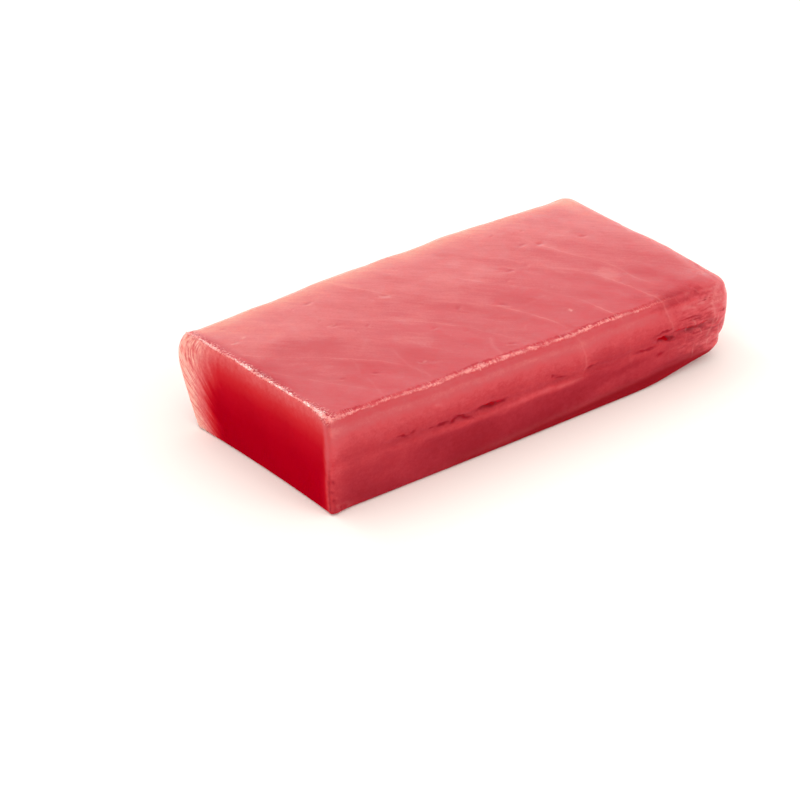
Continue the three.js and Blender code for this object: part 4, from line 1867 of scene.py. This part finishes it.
    def build(self) -> bpy.types.Material:
        """Makes the material.

        Returns:
            The material, ready for a mesh that has the masks.
        """
        material = bpy.data.materials.new(self.name)
        material.use_nodes = True
        sheet = NodeSheet(material.node_tree)
        where = sheet.add("ShaderNodeTexCoord").outputs["Object"]
        shader = sheet.add("ShaderNodeBsdfPrincipled", subsurface_method="RANDOM_WALK")
        sheet.feed(shader.inputs["Base Color"], self._colour(sheet, where))
        shader.inputs["Subsurface Weight"].default_value = 1.0
        shader.inputs["Subsurface Radius"].default_value = (1.0, 0.32, 0.26)
        shader.inputs["Subsurface Scale"].default_value = self.light_reach * MM
        shader.inputs["Specular IOR Level"].default_value = 0.0
        shader.inputs["Coat IOR"].default_value = 1.38
        shader.inputs["Coat Roughness"].default_value = self.film_roughness
        shine = sheet.noise(where, 260, 3, 0.6)
        film = sheet.math("MULTIPLY", sheet.mask(Mask.WET), sheet.span(shine, 0.3, 0.65, 0.6, 1.15), clamp=True)
        sheet.feed(shader.inputs["Coat Weight"], film)
        sheet.feed(shader.inputs["Roughness"], sheet.span(shine, 0.3, 0.7, self.flesh_roughness + 0.1,
                                                          self.flesh_roughness - 0.1))
        sheet.feed(shader.inputs["Normal"], self._bump(sheet, where))
        output = sheet.add("ShaderNodeOutputMaterial")
        sheet.feed(output.inputs["Surface"], shader.outputs[0])
        return material


@dataclass(frozen=True)
class PaleFloor:
    """A matt white surface."""

    name: str = "pale_floor"
    colour: Colour = (253, 248, 243)

    def build(self) -> bpy.types.Material:
        """Makes the material."""
        material = bpy.data.materials.new(self.name)
        material.use_nodes = True
        sheet = NodeSheet(material.node_tree)
        shader = sheet.add("ShaderNodeBsdfPrincipled")
        shader.inputs["Base Color"].default_value = linear(self.colour)
        shader.inputs["Roughness"].default_value = 0.9
        shader.inputs["Specular IOR Level"].default_value = 0.1
        output = sheet.add("ShaderNodeOutputMaterial")
        sheet.feed(output.inputs["Surface"], shader.outputs[0])
        return material


# ------------------------------------------------------------------------------------------------
# The studio
# ------------------------------------------------------------------------------------------------


@dataclass(frozen=True)
class SoftBox:
    """A square soft light that faces the block.

    Attributes:
        name: the light's name.
        azimuth: where it stands round the block in degrees, 0 behind the natural end and 90 behind
            the far side.
        elevation: its height above the floor in degrees.
        distance: its distance from the block, in mm.
        size: its side, in mm.
        power: its power in watts.
        tint: its colour.
    """

    name: str
    azimuth: float
    elevation: float
    distance: float
    size: float
    power: float
    tint: Colour = (255, 255, 255)

    def build(self) -> bpy.types.Object:
        """Places the light."""
        data = bpy.data.lights.new(self.name, "AREA")
        data.shape = "SQUARE"
        data.size = self.size * MM
        data.energy = self.power
        data.color = linear(self.tint)[:3]
        light = bpy.data.objects.new(self.name, data)
        bpy.context.scene.collection.objects.link(light)
        turn, lift = radians(self.azimuth), radians(self.elevation)
        way = Vector((cos(turn) * cos(lift), sin(turn) * cos(lift), sin(lift)))
        light.location = way * self.distance * MM
        light.rotation_mode = "QUATERNION"
        light.rotation_quaternion = way.to_track_quat("Z", "Y")
        return light


@dataclass(frozen=True)
class Studio:
    """The floor, the lights and the camera."""

    floor_size: float = 6000.0
    sky: Colour = (255, 253, 250)
    sky_strength: float = 1.12
    boxes: tuple[SoftBox, ...] = (
        SoftBox("key_box", 105.0, 58.0, 900.0, 360.0, 0.9, (255, 250, 246)),
        SoftBox("glint_box", 100.0, 50.0, 900.0, 70.0, 0.3),
        SoftBox("front_box", -72.0, 34.0, 900.0, 500.0, 1.5, (255, 250, 244)),
    )
    camera_place: Triple = (-428.82, -485.23, 362.09)
    camera_azimuth: float = -39.7399
    camera_elevation: float = 29.6618
    lens: float = 108.0
    sensor: float = 36.0

    def _floor(self) -> bpy.types.Object:
        """Lays the floor."""
        bpy.ops.mesh.primitive_plane_add(size=self.floor_size * MM, location=(0, 0, 0))
        floor = bpy.context.object
        floor.name = "pale_floor"
        floor.data.materials.append(PaleFloor().build())
        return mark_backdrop(floor) or floor

    def _sky(self) -> None:
        """Surrounds the scene with even white light."""
        world = bpy.data.worlds.new("white_studio")
        world.use_nodes = True
        sheet = NodeSheet(world.node_tree)
        background = sheet.add("ShaderNodeBackground")
        background.inputs["Color"].default_value = linear(self.sky)
        background.inputs["Strength"].default_value = self.sky_strength
        output = sheet.add("ShaderNodeOutputWorld")
        sheet.feed(output.inputs["Surface"], background.outputs[0])
        bpy.context.scene.world = world

    def _camera(self) -> bpy.types.Object:
        """Places the camera."""
        data = bpy.data.cameras.new("view")
        data.sensor_fit = "HORIZONTAL"
        data.sensor_width = self.sensor
        data.lens = self.lens
        data.clip_start = 0.01
        data.clip_end = 20.0
        camera = bpy.data.objects.new("view", data)
        turn, lift = radians(self.camera_azimuth), radians(self.camera_elevation)
        back = Vector((sin(turn) * cos(lift), -cos(turn) * cos(lift), sin(lift)))
        right = Vector((cos(turn), sin(turn), 0.0))
        up = back.cross(right)
        axes = Matrix((right, up, back)).transposed().to_4x4()
        camera.matrix_world = Matrix.Translation(Vector(self.camera_place) * MM) @ axes
        bpy.context.scene.collection.objects.link(camera)
        bpy.context.scene.camera = camera
        return camera

    def build(self) -> None:
        """Sets up the studio."""
        self._floor()
        self._sky()
        for box in self.boxes:
            box.build()
        self._camera()
        bpy.context.scene.view_settings.view_transform = "Standard"


# ------------------------------------------------------------------------------------------------
# Assembly
# ------------------------------------------------------------------------------------------------


def main() -> None:
    """Builds the block and its studio, and logs what it built."""
    logging.basicConfig(level=logging.INFO, format="%(name)s: %(message)s")
    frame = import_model()
    LOG.info("frame loaded with nodes %s", sorted(frame["nodes"]))

    block = TunaBlock(BlockForm(), GridPlan()).build()
    block.data.materials.append(RawFlesh().build())
    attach(block, "root")
    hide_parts("tuna_block")
    LOG.info("%s: %d corners, %d faces", block.name, len(block.data.vertices), len(block.data.polygons))

    Studio().build()
    LOG.info("studio: floor, sky, lights and camera")


if __name__ == "__main__":
    main()
